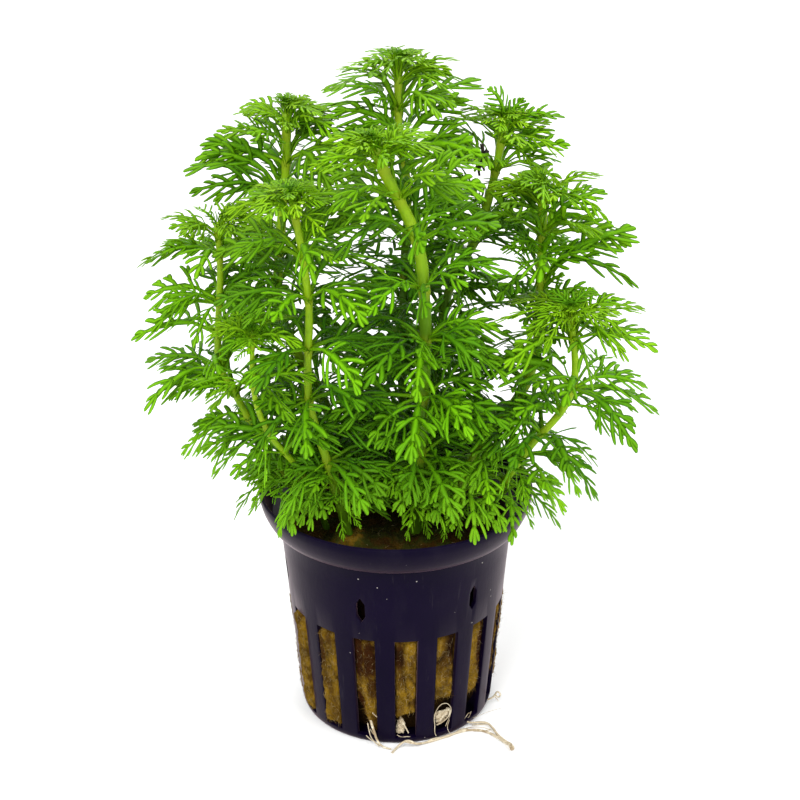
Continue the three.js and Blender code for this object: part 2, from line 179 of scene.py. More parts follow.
def setUpStudio():
    cameraData = bpy.data.cameras.new("camera")
    cameraData.lens = studio["lens"]
    cameraData.clip_start = 0.01
    camera = addObject("camera", cameraData)
    camera.matrix_world = (
        Matrix.Translation(studio["place"])
        @ Matrix.Rotation(math.radians(studio["turn"]), 4, "Z")
        @ Matrix.Rotation(math.radians(90 - studio["lookDown"]), 4, "X")
        @ Matrix.Rotation(math.radians(studio["roll"]), 4, "Z")
    )
    bpy.context.scene.camera = camera

    bpy.ops.mesh.primitive_plane_add(size=studio["floorSize"], location=(0, 0, 0))
    floor = bpy.context.active_object
    floor.name = "floor"
    floorPaint = bpy.data.materials.new("floorPaint")
    floorPaint.use_nodes = True
    shader = floorPaint.node_tree.nodes["Principled BSDF"]
    shader.inputs["Base Color"].default_value = (*studio["floorColour"], 1)
    shader.inputs["Roughness"].default_value = 0.9
    shader.inputs["Specular IOR Level"].default_value = 0.1
    floor.data.materials.append(floorPaint)
    floor.select_set(False)

    # size, power, place and aim of each soft light
    lights = {
        "keyLight": (0.7, 12.5, (-0.45, -0.75, 0.95), (0, 0, 0.07)),
        "fillLight": (0.9, 7.0, (0.8, -0.55, 0.6), (0, 0, 0.07)),
        "backLight": (0.9, 6.0, (0.2, 0.9, 0.9), (0, 0, 0.09)),
    }
    for name, (size, power, place, aim) in lights.items():
        lightData = bpy.data.lights.new(name, "AREA")
        lightData.size = size
        lightData.energy = power
        light = addObject(name, lightData)
        light.location = place
        light.rotation_euler = (Vector(aim) - Vector(place)).to_track_quat("-Z", "Y").to_euler()

    world = bpy.data.worlds.new("studioSky")
    world.use_nodes = True
    world.node_tree.nodes["Background"].inputs["Color"].default_value = (1, 1, 1, 1)
    world.node_tree.nodes["Background"].inputs["Strength"].default_value = studio["sky"]
    bpy.context.scene.world = world
    bpy.context.scene.view_settings.view_transform = "Standard"


setUpStudio()
print("studio set up")


# Materials


def addNode(tree, kind, sources={}, **settings):
    # sources gives inputs another node's output or a value
    node = tree.nodes.new("ShaderNode" + kind)
    for name, value in settings.items():
        setattr(node, name, value)
    for name, value in sources.items():
        if hasattr(value, "is_output"):
            tree.links.new(value, node.inputs[name])
        else:
            node.inputs[name].default_value = (*value, 1) if isinstance(value, tuple) else value
    return node.outputs


def mixColours(tree, factor, first, second):
    return addNode(tree, "Mix", {0: factor, 6: first, 7: second}, data_type="RGBA")[2]


def times(tree, first, second):
    return addNode(tree, "Math", {0: first, 1: second}, operation="MULTIPLY", use_clamp=True)[0]


def isBelow(tree, value, limit):
    return addNode(tree, "Math", {0: value, 1: limit}, operation="LESS_THAN")[0]


def newGroup(name, inputs):
    group = bpy.data.node_groups.new(name, "ShaderNodeTree")
    for socketName, value in inputs.items():
        socket = group.interface.new_socket(name=socketName, in_out="INPUT", socket_type="NodeSocketFloat")
        socket.default_value = value
    group.interface.new_socket(name="Mask", in_out="OUTPUT", socket_type="NodeSocketFloat")
    source = group.nodes.new("NodeGroupInput")
    return group, source.outputs, addNode(group, "TexCoord")["Object"]


def endGroup(group, mask):
    target = group.nodes.new("NodeGroupOutput")
    group.links.new(mask, target.inputs["Mask"])
    return group


def endRamp(group, given, value):
    # the mask rises from 0 to 1 between Low and High
    ramp = addNode(group, "MapRange", {"Value": value, "From Min": given["Low"], "From Max": given["High"]})
    return endGroup(group, ramp["Result"])


def blotchGroup():
    # soft irregular patches, stretched along Z where Stretch is below one
    group, given, place = newGroup("blotches", {"Scale": 200.0, "Low": 0.4, "High": 0.6, "Stretch": 1.0})
    stretch = addNode(group, "CombineXYZ", {"X": 1, "Y": 1, "Z": given["Stretch"]})["Vector"]
    scaled = addNode(group, "VectorMath", {0: place, 1: stretch}, operation="MULTIPLY")["Vector"]
    cloud = addNode(group, "TexNoise",
                    {"Vector": scaled, "Scale": given["Scale"], "Detail": 5, "Roughness": 0.6})
    return endRamp(group, given, cloud["Fac"])


def speckGroup():
    # small round specks in a few of the cells that Scale sets
    group, given, place = newGroup("specks", {"Scale": 400.0, "Size": 0.12, "Share": 0.3})
    cells = addNode(group, "TexVoronoi", {"Vector": place, "Scale": given["Scale"]})
    parts = addNode(group, "SeparateColor", {"Color": cells["Color"]})
    near = isBelow(group, cells["Distance"], given["Size"])
    return endGroup(group, times(group, near, isBelow(group, parts["Red"], given["Share"])))


def heightGroup():
    # how far up the object a point is: 0 at Low and 1 at High, in metres
    group, given, place = newGroup("heightShare", {"Low": 0.0, "High": 0.1})
    return endRamp(group, given, addNode(group, "SeparateXYZ", {"Vector": place})["Z"])


effects = {"blotches": blotchGroup(), "specks": speckGroup(), "heightShare": heightGroup()}


def addEffect(tree, effect, **values):
    return addNode(tree, "Group", values, node_tree=effects[effect])["Mask"]


def addBlotches(tree, scale, low, high, stretch, share):
    mask = addEffect(tree, "blotches", Scale=scale, Low=low, High=high, Stretch=stretch)
    return mask if share == 1 else times(tree, mask, share)


def newMaterial(name, paint):
    material = bpy.data.materials.new(name)
    material.use_nodes = True
    shader = material.node_tree.nodes["Principled BSDF"]
    for socketName, value in paint["shader"].items():
        shader.inputs[socketName].default_value = value
    return material, material.node_tree


def paintedParts(tree, attribute):
    painted = addNode(tree, "Attribute", attribute_name=attribute)["Color"]
    parts = addNode(tree, "SeparateColor", {"Color": painted})
    return parts["Red"], parts["Green"], parts["Blue"]


def finishMaterial(material, colour, paint):
    # the colour, and a fine grain that stands out
    tree = material.node_tree
    scale, stretch, strength, depth = paint["grain"]
    grain = addBlotches(tree, scale, 0.3, 0.7, stretch, 1)
    normal = addNode(tree, "Bump", {"Strength": strength, "Distance": depth, "Height": grain})["Normal"]
    shader = tree.nodes["Principled BSDF"]
    tree.links.new(colour, shader.inputs["Base Color"])
    tree.links.new(normal, shader.inputs["Normal"])
    return material


# In each dictionary below a layer of blotches has its scale, low, high, stretch and share, and the grain has
# its scale, stretch, strength and depth. Heights are in metres.

potPaint = {
    "plastic": (0.0012, 0.0002, 0.0080),
    "paler": (0.0026, 0.0008, 0.0110),
    # a painted highlight, paler, along the top edge of the lip
    "lipHighlight": (0.0200, 0.0150, 0.0340),
    "dust": (0.42, 0.39, 0.36),
    "shader": {"Roughness": 0.30, "Specular IOR Level": 0.045, "Sheen Weight": 0.16, "Sheen Roughness": 0.35,
               "Sheen Tint": (1.0, 0.60, 0.68, 1)},
    "clouds": (60, 0.35, 0.7, 1, 1),
    "lipHeight": {"Low": 0.0487, "High": 0.0491},
    "lipShare": 0.15,
    "scratches": (900, 0.64, 0.76, 0.05, 0.035),
    "haze": (240, 0.52, 0.80, 0.4, 0.007),
    "specks": {"Scale": 540, "Size": 0.072, "Share": 0.16},
    "speckShare": 0.75,
    "grain": (1500, 0.3, 0.10, 0.0001),
}


def makePotMaterial():
    material, tree = newMaterial("potPlastic", potPaint)
    colour = mixColours(tree, addBlotches(tree, *potPaint["clouds"]), potPaint["plastic"], potPaint["paler"])
    # painted highlight: a thin paler band along the top edge of the lip
    lipHighlight = times(tree, addEffect(tree, "heightShare", **potPaint["lipHeight"]), potPaint["lipShare"])
    colour = mixColours(tree, lipHighlight, colour, potPaint["lipHighlight"])
    for layer in ("scratches", "haze"):
        colour = mixColours(tree, addBlotches(tree, *potPaint[layer]), colour, potPaint["dust"])
    specks = times(tree, addEffect(tree, "specks", **potPaint["specks"]), potPaint["speckShare"])
    return finishMaterial(material, mixColours(tree, specks, colour, potPaint["dust"]), potPaint)


woolPaint = {
    "mustard": (0.215, 0.121, 0.007),
    "olive": (0.090, 0.050, 0.004),
    "brown": (0.034, 0.010, 0.0015),
    # the dark colour of wet stains and of painted shade
    "wetAndShade": (0.010, 0.004, 0.0015),
    "moss": (0.030, 0.050, 0.006),
    "pale": (0.520, 0.420, 0.230),
    "shader": {"Roughness": 0.9, "Specular IOR Level": 0.05},
    "patches": (240, 0.38, 0.60, 1, 1),
    "rust": (420, 0.52, 0.66, 1, 0.55),
    # pale streaks along the fibres, painted glints
    "fibres": (2600, 0.50, 0.72, 0.35, 0.16),
    "stainShare": 1.25,
    "mossHeight": {"Low": 0.0405, "High": 0.0425},
    "mossPatches": (330, 0.42, 0.56, 1, 0.8),
    "grain": (2200, 0.5, 0.7, 0.0004),
}


def makeWoolMaterial():
    # attribute woolTone: red is how dark it is, from wet stains and from painted shade in creases, dents, the
    # recess behind the slits, under the plug and over its top; green how brown, blue how pale
    material, tree = newMaterial("rockWool", woolPaint)
    wetAndShade, stained, bleached = paintedParts(tree, "woolTone")
    top = addEffect(tree, "heightShare", **woolPaint["mossHeight"])
    moss = times(tree, top, addBlotches(tree, *woolPaint["mossPatches"]))
    patches = addBlotches(tree, *woolPaint["patches"])
    colour = mixColours(tree, patches, woolPaint["olive"], woolPaint["mustard"])
    layers = [
        (addBlotches(tree, *woolPaint["rust"]), "brown"),
        # painted glints: pale streaks along the fibres
        (addBlotches(tree, *woolPaint["fibres"]), "pale"),
        (times(tree, stained, woolPaint["stainShare"]), "brown"),
        (moss, "moss"),
        (wetAndShade, "wetAndShade"),
        (bleached, "pale"),
    ]
    for mask, layer in layers:
        colour = mixColours(tree, mask, colour, woolPaint[layer])
    return finishMaterial(material, colour, woolPaint)


rootPaint = {
    "cream": (0.50, 0.42, 0.29),
    "tan": (0.31, 0.23, 0.135),
    "pith": (0.70, 0.63, 0.47),
    "shader": {"Roughness": 0.6, "Specular IOR Level": 0.3},
    "patches": (420, 0.46, 0.64, 1, 1),
    "pithPatches": (1100, 0.52, 0.66, 1, 1),
    "grain": (2500, 0.4, 0.3, 0.0001),
}


def makeRootMaterial():
    material, tree = newMaterial("rootFibre", rootPaint)
    colour = mixColours(tree, addBlotches(tree, *rootPaint["patches"]), rootPaint["cream"], rootPaint["tan"])
    colour = mixColours(tree, addBlotches(tree, *rootPaint["pithPatches"]), colour, rootPaint["pith"])
    return finishMaterial(material, colour, rootPaint)


stemPaint = {
    # inner is the painted shade colour, outer the painted lit colour
    "inner": (0.070, 0.170, 0.003),
    "outer": (0.215, 0.390, 0.004),
    "pale": (0.330, 0.490, 0.014),
    "node": (0.260, 0.300, 0.008),
    "shader": {"Roughness": 0.45, "Specular IOR Level": 0.16},
    "highlightStreaks": (260, 0.40, 0.66, 0.15, 0.55),
    "mottles": (700, 0.50, 0.72, 0.6, 0.45),
    "nodeShare": 0.45,
    "grain": (2200, 0.08, 0.25, 0.0001),
}


def makeStemMaterial():
    # attribute stemTone: red is nearness to a node, green how much light the place gets
    material, tree = newMaterial("stemSkin", stemPaint)
    ring, light, _ = paintedParts(tree, "stemTone")
    # painted shade: darker inside the plant and near the wool, lighter outside and on top
    colour = mixColours(tree, light, stemPaint["inner"], stemPaint["outer"])
    # painted highlights: pale streaks along the stem where it is painted lit
    highlightStreaks = times(tree, addBlotches(tree, *stemPaint["highlightStreaks"]), light)
    colour = mixColours(tree, highlightStreaks, colour, stemPaint["pale"])
    colour = mixColours(tree, addBlotches(tree, *stemPaint["mottles"]), colour, stemPaint["inner"])
    colour = mixColours(tree, times(tree, ring, stemPaint["nodeShare"]), colour, stemPaint["node"])
    return finishMaterial(material, colour, stemPaint)


leafPaint = {
    "dark": (0.0045, 0.098, 0.0012),
    "bright": (0.140, 0.420, 0.002),
    "young": (0.310, 0.560, 0.005),
    # margin colours: painted edge shade, and painted light through the edges
    "shadedMargin": (0.008, 0.065, 0.001),
    "litMargin": (0.260, 0.500, 0.020),
    "shader": {"Roughness": 0.5, "Specular IOR Level": 0.08},
    "patches": (500, 0.40, 0.70, 1, 0.30),
    "marginHeight": {"Low": 0.052, "High": 0.064},
    "marginShare": 0.46,
    "grain": (2600, 1, 0.15, 0.0001),
}


def makeLeafMaterial():
    # attribute leafTone: red is the leaf's tone, random and with painted shade inside the plant and low down,
    # green how young it is, blue nearness to the margin
    material, tree = newMaterial("leafBlade", leafPaint)
    shade, youth, rim = paintedParts(tree, "leafTone")
    colour = mixColours(tree, shade, leafPaint["dark"], leafPaint["bright"])
    colour = mixColours(tree, youth, colour, leafPaint["young"])
    colour = mixColours(tree, addBlotches(tree, *leafPaint["patches"]), colour, leafPaint["dark"])
    # painted light and shade on the margins: pale, painted light through the edges, on leaves near the pot;
    # dark, painted edge shade, on those above
    height = addEffect(tree, "heightShare", **leafPaint["marginHeight"])
    margin = mixColours(tree, height, leafPaint["litMargin"], leafPaint["shadedMargin"])
    colour = mixColours(tree, times(tree, rim, leafPaint["marginShare"]), colour, margin)
    return finishMaterial(material, colour, leafPaint)


witheredPaint = {
    "black": (0.004, 0.004, 0.003),
    "brown": (0.03, 0.02, 0.01),
    "shader": {"Roughness": 0.6, "Specular IOR Level": 0.2},
    "patches": (900, 0.4, 0.7, 1, 1),
    "grain": (2600, 1, 0.4, 0.0001),
}


def makeWitheredMaterial():
    material, tree = newMaterial("witheredLeaf", witheredPaint)
    patches = addBlotches(tree, *witheredPaint["patches"])
    colour = mixColours(tree, patches, witheredPaint["black"], witheredPaint["brown"])
    return finishMaterial(material, colour, witheredPaint)


potPlastic = makePotMaterial()
rockWool = makeWoolMaterial()
rootFibre = makeRootMaterial()
stemSkin = makeStemMaterial()
leafBlade = makeLeafMaterial()
witheredLeaf = makeWitheredMaterial()
print("materials made")


# Pot

potShape = {
    "perSlot": 11,             # faces round the pot for each slot and its rib
    "slotFaces": 6,
    "slots": 16,
    "frontSlot": 5.1,          # degrees, the middle of the slot at the front
    "slotBottom": 1.6,
    "slotTop": 25.6,
    "foot": 19.1,
    # outer radius and height of the wall and the band, from the foot up, mm
    "wall": [(19.45, 0.25), (19.7, 0.8), (19.87, 1.6), (20.38, 7.6), (20.9, 13.6), (21.4, 19.6),
             (21.92, 25.6), (22.4, 31.5), (22.9, 37.2), (23.4, 42.7)],
    "band": [(23.75, 42.86), (25.0, 42.9), (25.45, 43.2), (26.1, 44.3), (26.75, 45.7), (27.2, 47.3),
             (27.42, 48.5), (27.3, 48.95), (26.95, 49.2)],
    "wallThickness": 0.9,
    "edge": 0.12,
    "slitTurn": 42.0,
    "slitCount": 6,
    "slitWidth": 1.8,
    "slitHeight": 5.8,
    "slitMiddle": 32.5,
    "slitRadius": 22.55,       # from the pot's axis to the middle of a slit's cutter
    "cutterDepth": 4,
    "drainCount": 6,
    "drainWidth": 2.4,
    "drainInner": 7.0,
    "drainOuter": 15.5,
    "drainDepth": 5,
    "edgeAngle": 50,           # degrees, above which an edge is rounded
    "smoothAngle": 35,
}
slotPitch = 360 / potShape["slots"]
slotHalf = slotPitch * potShape["slotFaces"] / potShape["perSlot"] / 2


def slotOffset(azimuth):
    # degrees from the middle of the nearest slot
    return (azimuth - potShape["frontSlot"] + slotPitch / 2) % slotPitch - slotPitch / 2


def isSlot(face):
    middle = face.center / mm
    tall = potShape["slotBottom"] < middle.z < potShape["slotTop"]
    return tall and abs(slotOffset(azimuthOf(middle.x, middle.y))) < slotHalf


def placeRound(piece, turn, radius, height):
    turn = math.radians(turn)
    piece.rotation_euler.z = turn
    piece.location = Vector((math.sin(turn) * radius, -math.cos(turn) * radius, height)) * mm


def makeCutter():
    # slits in the wall and drain slots in the floor
    cutters = []
    for i in range(potShape["slitCount"]):
        bpy.ops.mesh.primitive_cylinder_add(vertices=6, radius=potShape["slitHeight"] / 2 * mm,
                                            depth=potShape["cutterDepth"] * mm, rotation=(math.pi / 2, 0, 0))
        applyTransforms()
        slit = bpy.context.active_object
        slit.scale = (potShape["slitWidth"] / slit.dimensions.x * mm, 1, 1)
        turn = potShape["slitTurn"] + i * 360 / potShape["slitCount"]
        placeRound(slit, turn, potShape["slitRadius"], potShape["slitMiddle"])
        cutters.append(slit)
    inner, outer = potShape["drainInner"], potShape["drainOuter"]
    for i in range(potShape["drainCount"]):
        bpy.ops.mesh.primitive_cube_add(size=1)
        drain = bpy.context.active_object
        drain.scale = Vector((potShape["drainWidth"], outer - inner, potShape["drainDepth"])) * mm
        placeRound(drain, i * 360 / potShape["drainCount"], (inner + outer) / 2, 0)
        cutters.append(drain)
    cutter = joinPieces(cutters)
    cutter.select_set(True)
    applyTransforms()
    cutter.select_set(False)
    return cutter


def makePot():
    bpy.ops.mesh.primitive_circle_add(vertices=potShape["slots"] * potShape["perSlot"],
                                      radius=potShape["foot"] * mm, fill_type="NGON",
                                      rotation=(0, 0, math.radians(potShape["frontSlot"] - 90)))
    applyTransforms()
    pot = bpy.context.active_object
    # the wall is drawn up from the foot's edge, then turned out into the band
    drawRings(potShape["foot"], 0.0, potShape["wall"] + potShape["band"])
    bpy.ops.object.mode_set(mode="OBJECT")
    # the slots are the faces between the ribs, taken out
    selectFaces(pot, isSlot)
    bpy.ops.mesh.delete(type="FACE")
    turnOutward()
    applyModifier(pot, "SOLIDIFY", thickness=potShape["wallThickness"] * mm, offset=-1, use_even_offset=True)
    cutter = makeCutter()
    applyModifier(pot, "BOOLEAN", object=cutter, operation="DIFFERENCE", solver="EXACT")
    bpy.data.objects.remove(cutter, do_unlink=True)
    applyModifier(pot, "BEVEL", width=potShape["edge"] * mm, segments=2, limit_method="ANGLE",
                  angle_limit=math.radians(potShape["edgeAngle"]))
    smoothPiece(pot, potShape["smoothAngle"])
    paintPiece(pot, potPlastic)
    finishPiece(pot, "netPot", "pot", "pot")
    print("pot made:", len(pot.data.polygons), "faces")


makePot()


# Rock wool

woolShape = {
    "around": 352,
    "rings": 96,
    "topRings": 30,
    "hub": 0.4,                # radius of the first ring of the underside, mm
    "floorRings": (5, 10, 14, 16.5, 18),
    "radius": 18.6,            # of the plain core that is pushed and pulled into shape
    "shoulder": 2.0,           # from the top of the side to the top, mm
    "smoothAngle": 60,
    "foot": 1.75,
    "top": 43.6,
    "clearance": 0.12,         # between the wool and the inside of the wall, mm
    # the slots seen at the front, by azimuth: how far the wool stands past the wall, and where it starts
    "bulge": {-84.9: 0.15, -62.4: 0.75, -39.9: 0.45, -17.4: -0.25, 5.1: -0.25, 27.6: -0.3, 50.1: -0.3,
              72.6: -0.2, 95.1: 0.5},
    "bottom": {-84.9: 1.7, -62.4: 1.7, -39.9: 1.7, -17.4: 5.2, 5.1: 6.2, 27.6: 8.8, 50.1: 7.4, 72.6: 7.8},
    "elsewhereBulge": 0.1,
    "elsewhereBottom": 2.5,
    # how steeply the wool's lower edge climbs within a slot, mm a degree
    "slant": {-17.4: -0.75, 5.1: 0.12, 27.6: -0.05, 50.1: 0.06},
    "grain": 0.30,
    "lump": 0.30,
    # between these heights the wool is also painted dark, a painted shade in the recess behind the slits
    "emptyAbove": 26.6,        # the wool stands back from the wall between these heights
    "emptyTo": 38.5,
    "emptyDepth": 1.9,
    # brown wet patches: azimuth, height, half their width in degrees and in height, strength
    "stains": [(-44, 20, 3, 5, 0.6), (-38, 6, 5, 5, 0.35), (-41, 13, 4, 3, 0.25), (-64, 20, 4, 4, 0.3),
               (-84, 15, 5, 8, 0.35), (-21.5, 21, 3.6, 6.5, 1.0), (-15, 20, 4.4, 6, 0.8),
               (-14, 13.5, 3.4, 3, 0.7), (-21.5, 9, 3.2, 4.5, 1.0), (1.5, 21.5, 3, 4.5, 0.75),
               (2.5, 15.5, 3, 2, 0.45), (8.5, 17, 2, 3.5, 0.35), (1.5, 8, 2.5, 2, 0.4),
               (31.8, 22, 3, 4.5, 1.0), (25, 17, 3, 2.5, 0.35), (30, 15.5, 4, 1.6, 0.5),
               (53.8, 19, 3.2, 7, 1.0), (72, 18, 4, 7, 0.75), (75, 12, 3, 5, 0.6)],
}
# the wool's top: lumps as x, y, half their width, height, their painted shade and how brown they are
topLumps = [(-8.8, -12.8, 4.0, 1.7, 0.0, 0.0), (-3.5, -14.5, 3.5, 0.3, 0.40, 0.5),
            (2.5, -14.0, 4.0, 0.4, 0.40, 0.3), (8.0, -13.5, 4.0, 0.9, 0.05, 0.70),
            (12.0, -11.0, 3.5, 0.5, 0.30, 0.8), (-15.0, -10.0, 4.0, 0.2, 0.6, 0.5)]


def wallRadiusAt(height):
    return 19.8 + (23.4 - 19.8) * (height - 1) / 41.9


def slotValue(table, azimuth, otherwise):
    # a value set slot by slot, blended over the ribs
    turn = (azimuth - potShape["frontSlot"] + 180) % 360 - 180
    low = math.floor(turn / slotPitch)
    keys = [round(potShape["frontSlot"] + (low + step) * slotPitch, 1) for step in (0, 1)]
    first, second = (table.get(key, otherwise) for key in keys)
    return between(first, second, smooth(0.35, 0.65, turn / slotPitch - low))


def woolBottom(azimuth):
    low = slotValue(woolShape["bottom"], azimuth, woolShape["elsewhereBottom"])
    low += slotOffset(azimuth) * slotValue(woolShape["slant"], azimuth, 0.0)
    low += 0.6 * noise.noise(Vector((azimuth * 0.21, 0.0, 1.7)))
    return max(woolShape["foot"], low)


def stainAt(azimuth, height):
    spot = Vector((azimuth * 0.13, height * 0.24, 7.3))
    stain = 0.5 * smooth(0.12, 0.45, noise.fractal(spot, 1.0, 2.0, 3))
    for place, middle, wide, tall, strength in woolShape["stains"]:
        away = math.hypot((azimuth - place) / wide, (height - middle) / tall)
        away += 0.35 * noise.fractal(spot * 3.1, 1.0, 2.0, 3)
        stain = max(stain, strength * smooth(1.25, 0.55, away))
    return stain


def woolPoint(azimuth, height):
    # how far out the wool's side stands, mm, how dark it is there from painted shade and wet stains, and how
    # brown it is
    angle = math.radians(azimuth)
    spot = Vector((math.sin(angle) * 21, -math.cos(angle) * 21, height))
    inside = wallRadiusAt(height) - potShape["wallThickness"] - woolShape["clearance"]
    lump = noise.fractal(spot * 0.22, 1.0, 2.0, 3) * woolShape["lump"]
    grain = noise.fractal(spot * 2.3, 0.8, 2.1, 4) * woolShape["grain"]
    # slanting folds, sharp at one side
    fold = abs(noise.noise(Vector((azimuth * 0.06 + height * 0.03, height * 0.05, 3.1))))
    crease = smooth(0.05, 0.0, fold)
    out = 0.0
    if height < potShape["slotTop"] + 0.5:
        bulge = slotValue(woolShape["bulge"], azimuth, woolShape["elsewhereBulge"])
        across = smooth(6.2, 4.9, abs(slotOffset(azimuth)))
        up = smooth(potShape["slotTop"] - 0.2, potShape["slotTop"] - 1.6, height)
        out = across * up * (potShape["wallThickness"] + bulge)
        if height < potShape["slotBottom"] + 0.6:
            out *= smooth(potShape["slotBottom"] - 0.2, potShape["slotBottom"] + 0.6, height)
    shallow = min(0.0, lump) - crease * 0.35
    reach = inside + out + shallow + min(grain, 0.9 * woolShape["grain"] if out > 0.3 else 0.0)
    if out <= 0.3:
        reach = min(reach, inside)
    stain = stainAt(azimuth, height)
    empty = smooth(woolShape["emptyAbove"] - 0.9, woolShape["emptyAbove"] + 0.6, height)
    empty *= smooth(woolShape["emptyTo"], woolShape["emptyTo"] - 2, height)
    reach -= empty * woolShape["emptyDepth"] + 0.35 * stain
    # painted shade in dents, creases and the recess behind the slits, and the wet dark core of the stains
    wetAndShade = min(1.0, max(0.0, -shallow * 0.5 + crease * 0.35 + empty + 0.55 * max(0.0, stain - 0.6)))
    return reach, wetAndShade, stain


def woolTopPoint(x, y):
    # height of the wool's top, its painted shade, lighter on some lumps, and how brown it is there
    flat = math.hypot(x, y)
    spot = Vector((x, y, 0))
    z = woolShape["top"] + 0.9 * noise.fractal(spot * 0.17, 1.0, 2.0, 3) - 0.8 * smooth(15, 21, flat)
    z += 0.40 * noise.fractal(spot * 1.4, 0.8, 2.1, 4)
    # painted shade over the whole top, patchy
    wetAndShade = 0.50 - 0.35 * noise.fractal(spot * 0.45, 1.0, 2.0, 3)
    stain = 0.5
    for lumpX, lumpY, wide, tall, lumpShade, lumpStain in topLumps:
        share = smooth(1.15, 0.45, math.hypot(x - lumpX, y - lumpY) / wide + 0.25 * noise.noise(spot * 0.5))
        z += tall * share
        wetAndShade += (lumpShade - wetAndShade) * share
        stain += (lumpStain - stain) * share
    return z, min(1.0, max(0.0, wetAndShade)), stain


def makeWoolBody():
    foot, top, core = woolShape["foot"], woolShape["top"], woolShape["radius"]
    side = top - woolShape["shoulder"]
    bpy.ops.mesh.primitive_circle_add(vertices=woolShape["around"], radius=woolShape["hub"] * mm,
                                      fill_type="TRIFAN", location=(0, 0, foot * mm))
    applyTransforms()
    wool = bpy.context.active_object
    # the underside outwards, the side up and the top back inwards
    rings = [(radius, foot) for radius in woolShape["floorRings"]]
    count = woolShape["rings"]
    rings += [(core, foot + (side - foot) * i / count) for i in range(count + 1)]
    count = woolShape["topRings"]
    rings += [(core * (1 - (i / count)) + 0.3, top) for i in range(1, count + 1)]
    drawRings(woolShape["hub"], foot, rings)
    bpy.ops.mesh.edge_face_add()
    turnOutward()

    # fibrous lumps and folds, pushed and pulled point by point
    tones = []
    for vertex in wool.data.vertices:
        x, y, z = vertex.co / mm
        flat = math.hypot(x, y)
        azimuth = azimuthOf(x, y)
        stain = 0.3
        if z < side + 0.01 and flat > core - 0.3:
            # the side starts where each slot shows it to
            low = woolBottom(azimuth)
            z = low + (side - low) * (z - foot) / (side - foot)
            reach, wetAndShade, stain = woolPoint(azimuth, z)
            reach -= 1.6 * smooth(1.6, 0.0, z - low) ** 2
            reach -= 1.1 * smooth(side - 2.2, side, z) ** 2
            x, y = x * reach / flat, y * reach / flat
        elif z < foot + 1:
            # the core reaches down to the pot's floor, its edge only as far as its slot shows
            z = woolBottom(azimuth) if flat > 17 else foot
            # painted shade under the plug
            wetAndShade = 0.9
        else:
            reach = wallRadiusAt(side) - 2.6
            x, y = x * reach / core, y * reach / core
            z, wetAndShade, stain = woolTopPoint(x, y)
        vertex.co = Vector((x, y, z)) * mm
        tones.append((wetAndShade, stain, 0.0, 1.0))
    addTone(wool.data, "woolTone", tones)
    smoothPiece(wool, woolShape["smoothAngle"])
    return wool


fibreShape = {
    "perSlot": 520,
    "onTop": 2600,
    "length": (0.5, 1.5),
    "radius": 0.032,
    "slotReach": 5.2,          # degrees each side of a slot's middle
    "topReach": 20.0,          # mm from the pot's axis
    "crumbRadius": (0.22, 0.42),
    "crumbsWithin": 20.6,      # mm from the pot's axis
    "crumbs": [(-6.4, -21.4), (-2.4, -22.3), (-1.6, -22.2), (6.6, -21.3), (7.0, -21.1), (9.3, -20.2),
               (10.1, -19.9), (9.8, -20.3), (-15.6, -15.9)],
}


def fibre(place, along, tone, points, faces, tones):
    # a thin closed spike with three sides
    side = along.cross(Vector((0.3, 0.5, 0.8))).normalized()
    other = along.cross(side).normalized()
    base = len(points)
    for step in range(3):
        turn = step * 2 * math.pi / 3
        points.append(place + (side * math.cos(turn) + other * math.sin(turn)) * fibreShape["radius"])
    points.append(place + along)
    faces.extend([(base, base + 2, base + 1), (base, base + 1, base + 3), (base + 1, base + 2, base + 3),
                  (base + 2, base, base + 3)])
    tones.extend([tone] * 4)


